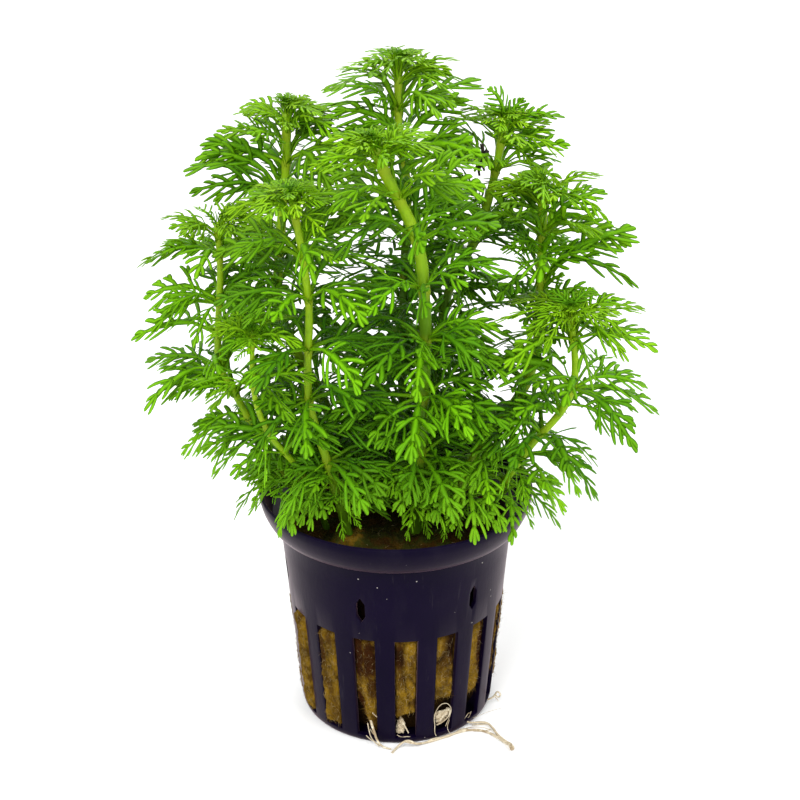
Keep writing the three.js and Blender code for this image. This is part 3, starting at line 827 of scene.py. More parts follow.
def makeWoolFibres():
    # loose fibres that stand off the wool in the slots and on its top
    chance = random.Random(5)
    points, faces, tones = [], [], []
    reachAside = fibreShape["slotReach"]
    for slot in range(potShape["slots"]):
        middle = potShape["frontSlot"] + slot * slotPitch
        for _ in range(fibreShape["perSlot"]):
            azimuth = (middle + chance.uniform(-reachAside, reachAside) + 180) % 360 - 180
            low = woolBottom(azimuth)
            height = chance.uniform(low + 0.2, potShape["slotTop"] - 0.9)
            reach, wetAndShade, stain = woolPoint(azimuth, height)
            reach -= 1.6 * smooth(1.6, 0.0, height - low) ** 2 + 0.1
            angle = math.radians(azimuth)
            outward = Vector((math.sin(angle), -math.cos(angle), 0))
            tangent = Vector((math.cos(angle), math.sin(angle), 0))
            lean = chance.uniform(0, 2 * math.pi)
            # fibres near a slot's edge lean back to its middle
            aside = math.cos(lean) - slotOffset(azimuth) / reachAside
            along = outward * chance.uniform(0.12, 0.5) + tangent * aside * 0.8
            along += Vector((0, 0, math.sin(lean)))
            along = along.normalized() * chance.uniform(*fibreShape["length"])
            if height + along.z < low - 0.4:
                along.z = -along.z
            # the loose fibres carry the painted shade and the stains of the wool they stand on
            tone = (wetAndShade * 0.8, stain * 0.9, 0.85 * chance.random() ** 6, 1.0)
            fibre(outward * reach + Vector((0, 0, height)), along, tone, points, faces, tones)
    for _ in range(fibreShape["onTop"]):
        turn = chance.uniform(0, 2 * math.pi)
        flat = fibreShape["topReach"] * math.sqrt(chance.random())
        x, y = flat * math.cos(turn), flat * math.sin(turn)
        z, wetAndShade, stain = woolTopPoint(x, y)
        lean = chance.uniform(0, 2 * math.pi)
        along = Vector((math.cos(lean), math.sin(lean), chance.uniform(0.1, 0.6)))
        along = along.normalized() * chance.uniform(*fibreShape["length"])
        # the fibres on top carry the top's painted shade and stains
        tone = (wetAndShade * 0.7, stain * 0.8, 0.7 * chance.random() ** 7, 1.0)
        fibre(Vector((x, y, z - 0.05)), along, tone, points, faces, tones)
    mesh = bpy.data.meshes.new("fibres")
    mesh.from_pydata([tuple(point * mm) for point in points], [], faces)
    addTone(mesh, "woolTone", tones)
    return addObject("fibres", mesh)


def makeCrumbs():
    # pale crumbs along the wool's edge
    chance = random.Random(8)
    crumbs = []
    for x, y in fibreShape["crumbs"]:
        radius = chance.uniform(*fibreShape["crumbRadius"])
        bpy.ops.mesh.primitive_ico_sphere_add(subdivisions=2, radius=radius * mm)
        crumb = bpy.context.active_object
        crumb.scale = (chance.uniform(0.7, 1.5), chance.uniform(0.6, 1.1), chance.uniform(0.5, 0.9))
        crumb.rotation_euler = (chance.uniform(-1, 1), chance.uniform(-1, 1), chance.uniform(0, 3))
        inward = min(1.0, fibreShape["crumbsWithin"] / math.hypot(x, y))
        z = woolTopPoint(x * inward, y * inward)[0]
        crumb.location = Vector((x * inward, y * inward, z + 0.1)) * mm
        applyTransforms()
        for vertex in crumb.data.vertices:
            vertex.co += vertex.normal * 0.12 * mm * noise.noise(vertex.co / mm * 3)
        addTone(crumb.data, "woolTone", [0.0, 0.0, 0.95, 1.0] * len(crumb.data.vertices))
        crumb.select_set(False)
        crumbs.append(crumb)
    return crumbs


def makeWool():
    wool = joinPieces([makeWoolBody(), makeWoolFibres()] + makeCrumbs())
    paintPiece(wool, rockWool)
    finishPiece(wool, "rockWoolPlug", "rock_wool", "rockwool")
    print("wool made:", len(wool.data.polygons), "faces")


makeWool()


# Roots

rootRoutes = {
    # points in mm and the strand's radius at each end
    "trailing": [
        # the long strand, from its bare end at the left to the knot
        ([(-1.0, -22.9, 0.3), (0.0, -21.3, 0.4), (1.0, -20.8, 1.1), (2.2, -20.9, 1.7), (3.8, -20.7, 0.9),
          (5.8, -19.7, 0.4), (7.9, -18.7, 0.35), (9.9, -17.6, 0.35), (12.2, -16.3, 0.35), (14.2, -15.5, 0.3),
          (16.1, -15.3, 0.3), (18.3, -16.1, 0.3), (20.3, -17.9, 0.3), (21.6, -19.6, 0.35),
          (22.8, -21.2, 0.6)], 0.20, 0.25),
        ([(1.6, -21.0, 1.5), (3.0, -21.1, 1.2), (4.6, -20.4, 0.5), (7.6, -18.6, 0.6), (10.2, -17.7, 0.3),
          (13.0, -15.7, 0.5), (15.2, -15.1, 0.3)], 0.14, 0.10),
        # the strand that leaves the pot higher up
        ([(13.6, -12.6, 1.0), (14.6, -13.6, 1.0), (15.8, -13.5, 0.8), (17.4, -13.1, 0.6), (18.5, -13.2, 0.4),
          (19.4, -14.4, 0.3), (20.4, -17.0, 0.3), (21.6, -18.9, 0.3), (22.9, -20.9, 0.7)], 0.19, 0.28),
        ([(15.4, -13.8, 0.4), (17.3, -13.4, 0.3), (18.8, -13.8, 0.6), (19.9, -15.8, 0.5), (21.0, -18.3, 0.3),
          (22.4, -20.4, 0.5)], 0.10, 0.16),
        ([(11.6, -16.4, 0.3), (13.6, -14.9, 0.3), (15.9, -15.6, 0.25), (17.7, -15.6, 0.25),
          (19.0, -15.3, 0.3)], 0.12, 0.08),
        ([(12.5, -15.9, 0.3), (14.6, -14.4, 0.2), (17.2, -14.3, 0.2), (19.3, -15.2, 0.2)], 0.07, 0.05),
        # a hair that stands off the pot
        ([(14.6, -11.9, 0.7), (16.2, -12.1, 1.2), (17.9, -12.0, 2.0), (19.9, -12.3, 3.0),
          (21.7, -12.8, 3.9)], 0.05, 0.03),
        # folded roots inside the slots
        ([(0.6, -18.2, 5.9), (1.0, -19.0, 5.2), (1.6, -19.2, 4.0), (2.1, -19.2, 2.9),
          (2.3, -19.2, 2.4)], 0.20, 0.12),
        ([(0.0, -19.2, 1.9), (0.9, -19.5, 1.6), (2.0, -19.5, 1.7), (3.0, -19.4, 1.5)], 0.10, 0.07),
        ([(8.0, -17.9, 3.4), (9.2, -17.6, 3.9), (10.4, -16.9, 4.8), (10.8, -16.6, 6.0)], 0.16, 0.10),
        # the loop over the slot and its ends
        ([(7.9, -18.3, 1.0), (7.6, -19.2, 2.6), (7.6, -19.6, 4.6), (7.5, -19.7, 6.6), (8.0, -19.6, 8.2),
          (8.8, -19.2, 9.1), (9.7, -18.8, 9.2), (10.5, -18.3, 8.4), (10.9, -17.9, 7.0), (10.7, -17.7, 5.6),
          (10.2, -17.9, 4.2), (9.8, -18.1, 3.2)], 0.085, 0.06),
        ([(10.6, -17.6, 4.4), (10.2, -18.0, 3.2), (10.4, -17.7, 1.8), (11.1, -17.0, 0.3)], 0.06, 0.05),
        ([(13.8, -13.6, 1.8), (14.2, -13.7, 2.6), (14.7, -13.1, 2.9), (15.0, -12.7, 2.5)], 0.09, 0.05),
        ([(14.2, -13.3, 1.4), (14.8, -12.9, 1.9), (15.2, -12.6, 3.0)], 0.07, 0.05),
        # the small curled end at the right
        ([(18.9, -6.2, 1.4), (19.9, -6.0, 1.8), (20.5, -5.9, 2.5), (20.9, -5.9, 3.1), (21.4, -6.0, 2.9),
          (21.5, -6.1, 2.3), (21.0, -6.1, 2.0), (20.6, -6.0, 2.3)], 0.20, 0.14),
        ([(20.2, -5.9, 2.0), (20.8, -6.0, 1.5), (21.2, -6.2, 1.0)], 0.10, 0.06),
    ],
    "front": [
        ([(-5.3, -18.9, 5.4), (-4.9, -19.9, 4.4), (-4.5, -20.3, 3.2), (-4.0, -20.7, 1.8), (-3.0, -21.1, 0.6),
          (-2.0, -21.4, 0.3), (-1.2, -21.6, 0.25)], 0.26, 0.16),
        ([(-5.9, -18.8, 4.6), (-5.6, -19.7, 3.4), (-5.3, -20.0, 2.2), (-4.6, -20.4, 1.2),
          (-3.6, -20.9, 0.4)], 0.13, 0.09),
        ([(-5.4, -19.0, 3.2), (-4.8, -20.1, 3.0), (-4.2, -20.5, 2.4), (-3.6, -20.8, 1.2)], 0.12, 0.08),
        ([(-6.2, -19.3, 1.9), (-5.4, -20.1, 1.6), (-4.4, -20.6, 1.2), (-3.4, -20.9, 0.5)], 0.10, 0.07),
        ([(-4.9, -19.6, 7.6), (-4.4, -20.0, 7.3), (-4.0, -20.1, 6.9)], 0.12, 0.08),
    ],
    # the knot, then crumpled pale roots behind the slots' lower ends: middle, size in three directions, turn
    # in degrees and how deep the folds are
    "crumples": [((22.95, -21.9, 0.75), (0.45, 0.85, 0.42), 8, 0.18),
                 ((0.75, -18.75, 3.9), (0.75, 0.45, 1.75), 5, 0.30),
                 ((0.7, -18.9, 3.0), (0.85, 0.4, 0.7), 5, 0.30),
                 ((8.9, -17.2, 5.4), (1.55, 0.5, 0.85), 28, 0.30),
                 ((8.7, -17.1, 4.4), (1.0, 0.45, 0.85), 28, 0.30),
                 ((10.2, -16.5, 5.7), (0.75, 0.4, 0.6), 28, 0.30)],
}


def drawStrand(points, startRadius, endRadius):
    # a round strand along a smooth route, as a curve made into a mesh
    bpy.ops.curve.primitive_nurbs_path_add()
    strand = bpy.context.active_object
    strand.location = (0, 0, 0)
    strand.data.splines.clear()
    spline = strand.data.splines.new("BEZIER")
    spline.bezier_points.add(len(points) - 1)
    for i, (point, place) in enumerate(zip(spline.bezier_points, points)):
        point.co = Vector(place) * mm
        point.handle_left_type = "AUTO"
        point.handle_right_type = "AUTO"
        share = i / (len(points) - 1)
        uneven = 1 + 0.22 * noise.noise(Vector(place) * 0.9)
        point.radius = between(startRadius, endRadius, share) * uneven
    strand.data.dimensions = "3D"
    strand.data.bevel_depth = mm
    strand.data.bevel_resolution = 2
    strand.data.resolution_u = 8
    strand.data.use_fill_caps = True
    bpy.ops.object.convert(target="MESH")
    strand = bpy.context.active_object
    applyTransforms()
    strand.select_set(False)
    return strand


def makeCrumple(place, size, turn, depth):
    # a lump with sharp folds, pushed in and out by noise
    bpy.ops.mesh.primitive_ico_sphere_add(subdivisions=4, radius=mm)
    crumple = bpy.context.active_object
    crumple.scale = size
    crumple.rotation_euler.z = math.radians(turn)
    crumple.location = Vector(place) * mm
    applyTransforms()
    for vertex in crumple.data.vertices:
        spot = vertex.co / mm
        folds = 1 - 2.2 * abs(noise.noise(spot * 1.7)) - 1.8 * abs(noise.noise(spot * 4.1))
        vertex.co += vertex.normal * depth * mm * folds
    crumple.select_set(False)
    return crumple


def makeRoots():
    for name, node in (("trailing", "roots_trailing"), ("front", "root_front")):
        strands = [drawStrand(*route) for route in rootRoutes[name]]
        if name == "trailing":
            strands += [makeCrumple(*crumple) for crumple in rootRoutes["crumples"]]
        roots = joinPieces(strands)
        paintPiece(roots, rootFibre)
        for vertex in roots.data.vertices:
            vertex.co.z = max(vertex.co.z, 0.02 * mm)
        smoothPiece(roots, 60)
        finishPiece(roots, name + "Roots", "root", node)
    print("roots made")


makeRoots()


# Leaves

bladeForms = {
    # (place along the blade, half width) and how thick the blade is for its width
    "lobe": ([(0.0, 0.64), (0.34, 0.86), (0.74, 1.0), (0.94, 0.76), (1.0, 0.32)], 0.30),
    "rib": ([(0.0, 1.15), (0.07, 0.62), (0.34, 0.54), (0.54, 1.0), (0.82, 0.85), (1.0, 0.5)], 0.36),
}


def modelBlade(form):
    # four points in a ring, drawn out along X step by step and sized at each step
    stations, thickness = bladeForms[form]
    bpy.ops.mesh.primitive_circle_add(vertices=4, radius=1, fill_type="NGON", rotation=(0, math.pi / 2, 0))
    applyTransforms()
    blade = bpy.context.active_object
    bpy.ops.object.mode_set(mode="EDIT")
    bpy.ops.mesh.select_all(action="SELECT")
    place, half = stations[0]
    bpy.ops.transform.resize(value=(1, half, half * thickness))
    for nextPlace, nextHalf in stations[1:]:
        bpy.ops.mesh.extrude_region_move(TRANSFORM_OT_translate={"value": (nextPlace - place, 0, 0)})
        bpy.ops.transform.resize(value=(1, nextHalf / half, nextHalf / half))
        place, half = nextPlace, nextHalf
    turnOutward()
    points = np.array([vertex.co[:] for vertex in blade.data.vertices])
    faces = np.array([face.vertices[:] for face in blade.data.polygons])
    bpy.data.objects.remove(blade, do_unlink=True)
    return points, faces


blades = {form: modelBlade(form) for form in bladeForms}

leafForms = {
    # each pair of lobes: place along the leaf, their two lengths, angle from the midrib; then the end lobe
    "open": {"pairs": [(0.42, 0.41, 0.31, 52), (0.62, 0.31, 0.24, 47), (0.80, 0.20, 0.15, 40)], "end": 0.80},
    "long": {"pairs": [(0.50, 0.36, 0.28, 48), (0.69, 0.26, 0.20, 44), (0.84, 0.15, 0.12, 38)], "end": 0.80},
    "full": {"pairs": [(0.31, 0.33, 0.28, 56), (0.44, 0.37, 0.30, 53), (0.58, 0.31, 0.25, 48),
                       (0.72, 0.23, 0.18, 43), (0.85, 0.14, 0.11, 38)], "end": 0.81},
    "forked": {"pairs": [(0.38, 0.44, 0.36, 53), (0.56, 0.35, 0.28, 49), (0.72, 0.25, 0.19, 43),
                         (0.85, 0.14, 0.11, 38)], "end": 0.81, "forks": 0.85},
    "young": {"pairs": [(0.44, 0.33, 0.29, 46), (0.57, 0.30, 0.26, 44), (0.70, 0.24, 0.20, 40),
                        (0.83, 0.16, 0.13, 36)], "end": 0.80},
    "broad": {"pairs": [(0.22, 0.30, 0.26, 20), (0.38, 0.32, 0.28, 19), (0.54, 0.28, 0.24, 18),
                        (0.70, 0.20, 0.17, 18)], "end": 0.72, "half": 0.048, "web": 0.075},
}
leafHabit = {
    "slim": 0.6,               # how much narrower the leaves are that cross a clearing
    "half": 0.0272,            # half a lobe's width, for the leaf's length
    "web": 0.042,              # half the width of the midrib where the lobes join it
    "lobeBend": 0.42,          # how far a lobe curves towards the leaf's tip, radians
    "lobeLift": 5.0,           # degrees that lobes stand above the midrib
    "lobeScatter": 17.0,
    "rollScatter": 24.0,       # degrees that a leaf is turned about its own length
    "facing": (0.0, -0.8, 0.6),  # where the light came from, which leaves turn to
    "turning": (0.05, 0.9),    # how far they turn to it
    "singleTurning": (0.55, 0.95),
    "arch": (0.07, 0.17),      # how far a leaf's middle rises above its chord for its length, low and high up
    "stemClear": 2.9,          # corners of a CAD node nearer to the stem's route than this are the stem's, mm
    "corners": 7,              # the fewest that a CAD leaf has
    "stemReach": (16, 9),      # how far below and above its height the lowest whorl reaches, mm
    "potReach": 21,            # beyond this from the pot's axis a leaf hangs over the rim, mm
    "sag": (0.42, 0.15),       # how far its tip hangs, low and high up
    "variants": 6,
    "perWhorl": (14, 14, 13, 13, 12, 12, 12),
    "topForms": ["full", "open", "young", "forked"],
    "forms": ["open", "long", "full", "forked"],
    "stray": (-0.28, 0.42),    # how far leaves between the CAD ones are turned along the stem
    "ahead": 30.0,             # degrees each side of straight ahead, where few leaves hide a clear stem
}
dice = random.Random(11)


def stackParts(parts):
    # points, faces and values of several parts as those of one
    points, faces, values = zip(*parts)
    starts = np.cumsum([0] + [len(part) for part in points[:-1]])
    faces = [part + start for part, start in zip(faces, starts)]
    return np.concatenate(points), np.concatenate(faces), np.concatenate(values)


def lobeTurn(turn, lift):
    return Matrix.Rotation(turn, 3, "Z") @ Matrix.Rotation(-lift, 3, "Y")


def placeBlade(form, length, half, turn, lift, start, bend=0.0):
    # a blade at its place on the leaf, turned aside, lifted and curved towards the leaf's tip
    points, faces = blades[form]
    placed = points * np.array([length, half, half])
    placed[:, 1] -= bend * length * points[:, 0] ** 2 / 2
    placed = placed @ np.array(lobeTurn(turn, lift)).T + np.array(start)
    rim = np.where(np.abs(points[:, 1]) > np.abs(points[:, 2]), 1.0, 0.0)
    return placed, faces, rim


def composeLeaf(form, seed):
    # a leaf one long, lying along X with its face up, out of one rib and its lobes
    chance = random.Random(seed)
    settings = leafForms[form]
    half = settings.get("half", leafHabit["half"])
    end, web = settings["end"], settings.get("web", leafHabit["web"])
    parts = [placeBlade("rib", end + 0.08, web, 0, 0, (0, 0, 0))]
    for place, longer, shorter, angle in settings["pairs"]:
        longSide = chance.choice((-1, 1))
        for side in (-1, 1):
            start = Vector((place + chance.uniform(-0.02, 0.02), 0, 0))
            turn = math.radians(angle + chance.uniform(-6, 6)) * side
            lift = math.radians(leafHabit["lobeLift"] + chance.uniform(-1, 1) * leafHabit["lobeScatter"])
            reach = (longer if side == longSide else shorter) * chance.uniform(0.9, 1.1)
            wide = half * chance.uniform(0.88, 1.12)
            bend = leafHabit["lobeBend"] * side
            parts.append(placeBlade("lobe", reach, wide, turn, lift, start, bend))
            if reach > 0.2 and chance.random() < settings.get("forks", 0.0):
                share = chance.uniform(0.38, 0.5)
                fork = Vector((reach * share, -bend * reach * share * share / 2, 0))
                fork.rotate(lobeTurn(turn, lift))
                outer = turn + math.radians(16) * side
                parts.append(placeBlade("lobe", reach * 0.42, wide * 0.9, outer, lift, start + fork, bend))
    turn = math.radians(chance.uniform(-5, 5))
    parts.append(placeBlade("lobe", 1.0 - end, half * 1.2, turn, 0, (end, 0, 0)))
    return stackParts(parts)


leafKinds = {form: [composeLeaf(form, 100 * i + len(form)) for i in range(leafHabit["variants"])]
             for form in leafForms}
print("leaf forms made:", {form: len(kinds[0][1]) for form, kinds in leafKinds.items()})


# Shoots

# Each has its stem's route, mm, from the wool to the bud, and its whorls' heights from the top down. The
# crown is how far young leaves may rise over the stem's end. Above the height clear, few further leaves hide
# the stem. inner gives heights of further whorls. single gives leaves that stand out on their own: height on
# the stem, the tip's place and form.
shoots = {
    "tall": {
        "girth": 0.95, "crown": 2.4, "clear": 108, "bud": 1,
        "stem": [(1, 9, 38.5), (1.4, 10, 60), (1.9, 12, 89), (2.6, 14, 105.9), (0.8, 17, 121),
                 (1.2, 19.3, 129)],
        "whorls": [125.5, 120.5, 111.5, 101, 89, 76, 61],
        "inner": [95, 82.5, 68.5, 55],
        "single": [(111.5, -5.4, 8, 121.2, "full"), (111.5, -9.2, 10, 119.5, "full"),
                   (120, 9.8, 16, 123.6, "full"), (111.5, 17, 18, 126.5, "long"),
                   (120, -3.7, 10, 124.3, "full"), (111.5, -11.8, 12, 122.1, "full"),
                   (120, -13.6, 16, 124.7, "full"), (111.5, 14.5, 14, 123.7, "open")],
    },
    "middle": {
        "girth": 1.3, "crown": 3, "clear": 90, "bud": 1,
        "stem": [(4, -8.5, 38.5), (4.6, -12, 62), (5.6, -14, 90), (4.1, -14.5, 105.7), (-1.7, -15, 118.8),
                 (-3.3, -15, 123)],
        "whorls": [119, 113.5, 105.5, 96, 86, 74, 61.5],
        "inner": [80, 68, 55],
        "single": [(57, 6.4, -22.5, 52.7, "full"), (60, 0.8, -23, 54.2, "forked"),
                   (54, 9.2, -24, 51.7, "full"), (60, -2, -20, 57, "forked"),
                   (53, 2.5, -21.5, 50.8, "forked"), (51, 2, -17, 45.4, "open"),
                   (50, 6.5, -16, 45.2, "full"), (70, 3.5, -24, 66, "full"), (76, 8.5, -23.5, 72, "forked"),
                   (84, 4, -25, 79.5, "open"), (86, 20.8, -20, 80.3, "full"),
                   (105, 15.5, -12, 104.9, "full"), (86, 19.3, -16, 88.9, "full")],
    },
    "upper_left": {
        "girth": 1.1, "crown": 2.4, "clear": 96, "bud": 1,
        "stem": [(-8, 9.5, 38.5), (-13.5, 10, 60), (-22.8, 11, 82), (-22.6, 12, 93), (-20.8, 15, 111),
                 (-20.6, 16.4, 121)],
        "whorls": [116.5, 111, 104.3, 93, 82, 70.5, 58],
        "inner": [87.5, 76.5, 64.5, 53],
        "single": [(116, -14.9, 12, 122.1, "full"), (104.3, -40.2, 10, 111.2, "open"),
                   (104.3, -34.6, 8, 105.9, "long"), (104.3, -28.8, 6, 107.9, "full"),
                   (104.3, -36.5, 13, 114, "long"), (115, -30.1, 14, 118.5, "full"),
                   (104.3, -25.7, 18, 111.2, "full"), (104.3, -12.2, 10, 112.3, "forked")],
    },
    "front_left": {
        "girth": 0.84, "crown": 1.8, "clear": 60, "bud": 1,
        "stem": [(-8, -12, 38.5), (-12.5, -15, 60), (-16, -15, 74), (-15.6, -16.5, 95), (-17, -17, 108),
                 (-18.1, -17, 114.5)],
        "whorls": [110.5, 103.2, 95, 85, 74.5, 61.5],
        "inner": [68, 56],
        "single": [(60, -18.2, -21, 50.6, "open"), (58, -16.6, -21.6, 50.4, "open"),
                   (56, -21.5, -18.5, 51.6, "forked"), (57, -6.8, -18.5, 51.2, "forked"),
                   (60, -9.3, -18, 53.3, "open"), (54, -12.5, -22, 54, "full"),
                   (51, -10, -17.5, 45.6, "open"), (51, -6.6, -17.5, 48.4, "full")],
    },
    "left": {
        "girth": 0.76, "crown": 2.4, "clear": 62, "bud": 1,
        "stem": [(-16, -1, 38.5), (-20, -3, 49), (-26.2, -3, 60), (-31.2, -2.4, 70.5), (-33.8, -2, 76),
                 (-33.7, -1.2, 85), (-33, -0.8, 94), (-33.1, -0.2, 104.5)],
        "whorls": [102, 97.6, 88.6, 75.2, 65, 54.5],
        "inner": [82, 70, 59.5],
        "single": [(101, -35.1, -2, 107.1, "full"), (97.6, -46.6, -3, 97.3, "full"),
                   (97.6, -42.8, -6, 100.7, "open"), (88, -43.8, -4, 91, "full"),
                   (88, -46.3, -4, 83.7, "open"), (88, -44.4, -4, 87.1, "long"),
                   (88, -37.5, -12, 84, "full"), (75, -47.9, -4, 77.6, "full"), (72, -46.7, -6, 71, "full"),
                   (71, -43, -8, 71.5, "open"), (70, -36.2, -9, 72.3, "full"),
                   (66, -39.2, -8, 62.9, "forked"), (62, -35, -8, 59, "open"), (53, -28.1, -12, 50, "open"),
                   (55, -29, -9.5, 53.6, "forked"), (57, -37.8, -8, 60.7, "forked"),
                   (52, -30.5, -3, 51.5, "full")],
    },
    "upper_right": {
        "girth": 1, "crown": 1.8, "clear": 95, "bud": 1,
        "stem": [(7, 9.5, 38.5), (8, 10, 70), (11.9, 12, 89.4), (16, 13, 96), (20.3, 16, 112),
                 (21.3, 17.4, 118.5)],
        "whorls": [114.2, 109, 99, 87, 74.5, 60.5],
        "inner": [93, 81, 67.5, 54.5],
        "single": [(110, 8.5, 14, 114.5, "full"), (114, 28.9, 14, 121.3, "full"),
                   (109, 21.1, 8, 112.7, "full"), (109, 8.9, 12, 111.5, "open"),
                   (114, 25.1, 16, 123.5, "young"), (114, 32.8, 15, 120, "full"),
                   (109, 34, 14, 114.7, "long"), (109, 31.2, 18, 116.6, "open"), (99, 31.9, 10, 104, "full"),
                   (115.5, 17.7, 13, 126.2, "full")],
    },
    "right": {
        "girth": 1.12, "crown": 3.4, "clear": 200, "bud": 1,
        "stem": [(9, -9.5, 38.5), (12.4, -12.5, 55), (18.5, -8, 64), (23.8, -4.5, 70), (27, -1.5, 77),
                 (27.8, 0, 90), (28.1, 3, 109.5)],
        "whorls": [106, 100.5, 92, 82.6, 72.5, 57],
        "inner": [65, 52],
        "single": [(56, 14.8, -26.5, 49.8, "open"), (59, 17.6, -24, 57, "full"),
                   (56, 21, -22.5, 50.4, "open"), (53, 10.5, -22, 50.2, "forked"),
                   (64, 14, -20.5, 57.5, "full"), (66, 18.5, -18, 60.5, "open"), (62, 11, -21.5, 55, "open"),
                   (68, 21.5, -15.5, 63, "forked"), (97, 21.6, -6, 101.9, "full"), (86, 32, -4, 95, "full"),
                   (86, 35.8, -4, 92.3, "open"), (86, 39, -2, 90.1, "full"), (97, 19.9, 0, 98.6, "full"),
                   (91, 45.3, -2, 103.3, "long"), (91, 43.2, 2, 98.5, "open"), (91, 38.4, -4, 99.5, "full"),
                   (91, 22.4, -6, 98.4, "full"), (91, 30.4, -8, 104.4, "full"),
                   (91, 27.4, -12, 100.6, "open"), (100, 39.5, 2, 109.6, "full"),
                   (50, 12.5, -17, 45.6, "open"), (49, 9, -17.5, 45.3, "full"),
                   (101, 38.4, -2, 104.1, "broad")],
    },
    "far_right": {
        "girth": 0.8, "crown": 1.7, "clear": 66, "bud": 1,
        "stem": [(16.5, -4, 38.5), (20, -7, 50), (25, -11, 61.5), (32, -12, 71.5), (33.7, -12, 77.5),
                 (32.4, -13, 91)],
        "whorls": [89.8, 85.2, 75, 65.5, 53.5],
        "inner": [70, 59.5],
        "single": [(89, 28.2, -12, 95.1, "young"), (89, 36.8, -12, 95.5, "young"),
                   (88, 41.6, -11, 93.1, "full"), (75, 23.9, -16, 84.9, "full"),
                   (61, 36.9, -13, 58.9, "full"), (61, 36.7, -10, 54.8, "open"), (57, 33, -13, 49.4, "open"),
                   (75, 47.6, -12, 75.2, "full"), (75, 43.6, -12, 69, "full"), (72, 43.4, -14, 66.3, "full"),
                   (83, 47.7, -10, 85.8, "long"), (55, 26.6, -15, 49.6, "open"),
                   (58, 24.9, -17, 52.5, "forked"), (56, 33.3, -12, 48.8, "open"),
                   (61, 36.5, -12, 56.2, "open"), (57, 31.5, -6, 50.5, "full")],
    },
    "short": {
        "girth": 0.6, "crown": 2, "clear": 60, "bud": 0.42,
        "stem": [(-12.5, -6, 38.5), (-17.5, -12.5, 57), (-24, -16.5, 69), (-26.1, -17.3, 77),
                 (-25.9, -18, 90)],
        "whorls": [87, 78.5, 68.8, 58.6],
        "inner": [63.5, 53],
        "single": [(86, -25.2, -20, 97, "full"), (86, -29, -22, 85.5, "full")],
    },
}
# places that stay clear as seen from the front: x, z and radius in mm, on the plane where y is 0
clearings = [
    (41.4, 92.8, 5.3), (36.1, 96.1, 2.9), (-35, 109.5, 4.4), (-40.4, 105.8, 2.7), (31.1, 116.1, 3.8),
    (36.4, 112.6, 2.7), (37.6, 58.5, 4), (41, 51.8, 2.7), (39.9, 77.5, 3.1), (29.9, 76.1, 3.1),
    (16.6, 96.2, 3.3), (12.8, 98.6, 2), (-40.9, 79, 2.2), (-30.4, 44.3, 2.9), (-25.2, 128.1, 2.7),
    (37.8, 104, 2.4), (-39.9, 94.5, 1.8), (-35.6, 52.7, 2.9), (21.2, 84.9, 2.7), (31, 40, 2.7),
    (12.3, 123.1, 2.2), (-8.7, 135.1, 2.2), (39.8, 46.8, 2.7), (-15.5, 115.8, 1.8), (25.8, 127.5, 2),
    (9.5, 135.9, 2.2), (-27.8, 99.4, 1.6), (46.9, 57.8, 2.2), (49.7, 78.9, 1.8), (27.6, 67.5, 1.6),
    (2.8, 124.3, 1.8), (-25.3, 45.5, 1.3), (-35.3, 54.5, 2.7), (-30.2, 48.2, 2.2), (38.9, 49.1, 2.2),
    (47.1, 62.2, 3.1), (-43.6, 86.7, 2.2), (17.9, 93.9, 2.7), (4.8, 124.4, 2.2), (12.5, 121.9, 2.2),
    (37.1, 103.6, 2.2), (-10.3, 37.8, 3.8), (-4.2, 37.3, 3.6), (1.8, 36.8, 3.6), (6.9, 37.7, 2.2),
    (-23.3, 44.3, 3.1), (-15.8, 38, 1.8), (-9.2, 42.6, 2), (21, 42.4, 2), (41, 75.8, 2.9),
    (-31.2, 110.5, 2.7), (-40.7, 58.1, 1.8), (45.7, 58.2, 1.8), (-42.3, 79, 1.6), (-41.6, 87.1, 1.6),
    (-25.2, 127, 1.8), (-34, 118, 1.6), (-27.6, 99.6, 1.3), (16.2, 97, 1.6), (21.8, 84.7, 1.3),
]
# rings of leaves beyond the CAD's whorls: between them, and old ones under the last
innerHabit = {
    "leaves": 10,
    "length": (10.0, 17.0),
    "rise": (-12, 34),
    "uneven": 0.3,
    "overRim": 51.0,           # the lowest that a leaf's tip may hang over the rim and over the wool, mm
    "overWool": 0,
    "forms": ["open", "forked", "full", "long"],
    "youth": 0.08,
}
footHabit = {
    "drops": (5.0, 9.5, 13.5),  # mm below the last whorl
    "lowest": 46.0,
    "leaves": 5,
    "length": (9.0, 15.0),
    "rise": (-28, 34),
    "uneven": 0.25,
    "overRim": 50.8,
    "overWool": 45.8,
    "forms": ["open", "forked", "full"],
    "youth": 0.05,
}
budHabit = {
    # each tier: leaves, length, rise in degrees, start above the stem's end in mm, and its painted shade,
    # darkest at the heart
    "tiers": [(9, 9.8, 25, -3.4, 1.0), (9, 8.2, 39, -2.5, 1.0), (8, 6.6, 53, -1.7, 0.9),
              (7, 5.4, 66, -1.1, 0.45), (5, 4.3, 79, -0.6, 0.2)],
    # the crown is a low dome: how far it falls, mm, at some distances from the tip
    "domeAt": (0, 6, 12, 20, 40),
    "domeFall": (0, 0.7, 2.6, 4.6, 6.0),
    "domeGive": 0.4,
}
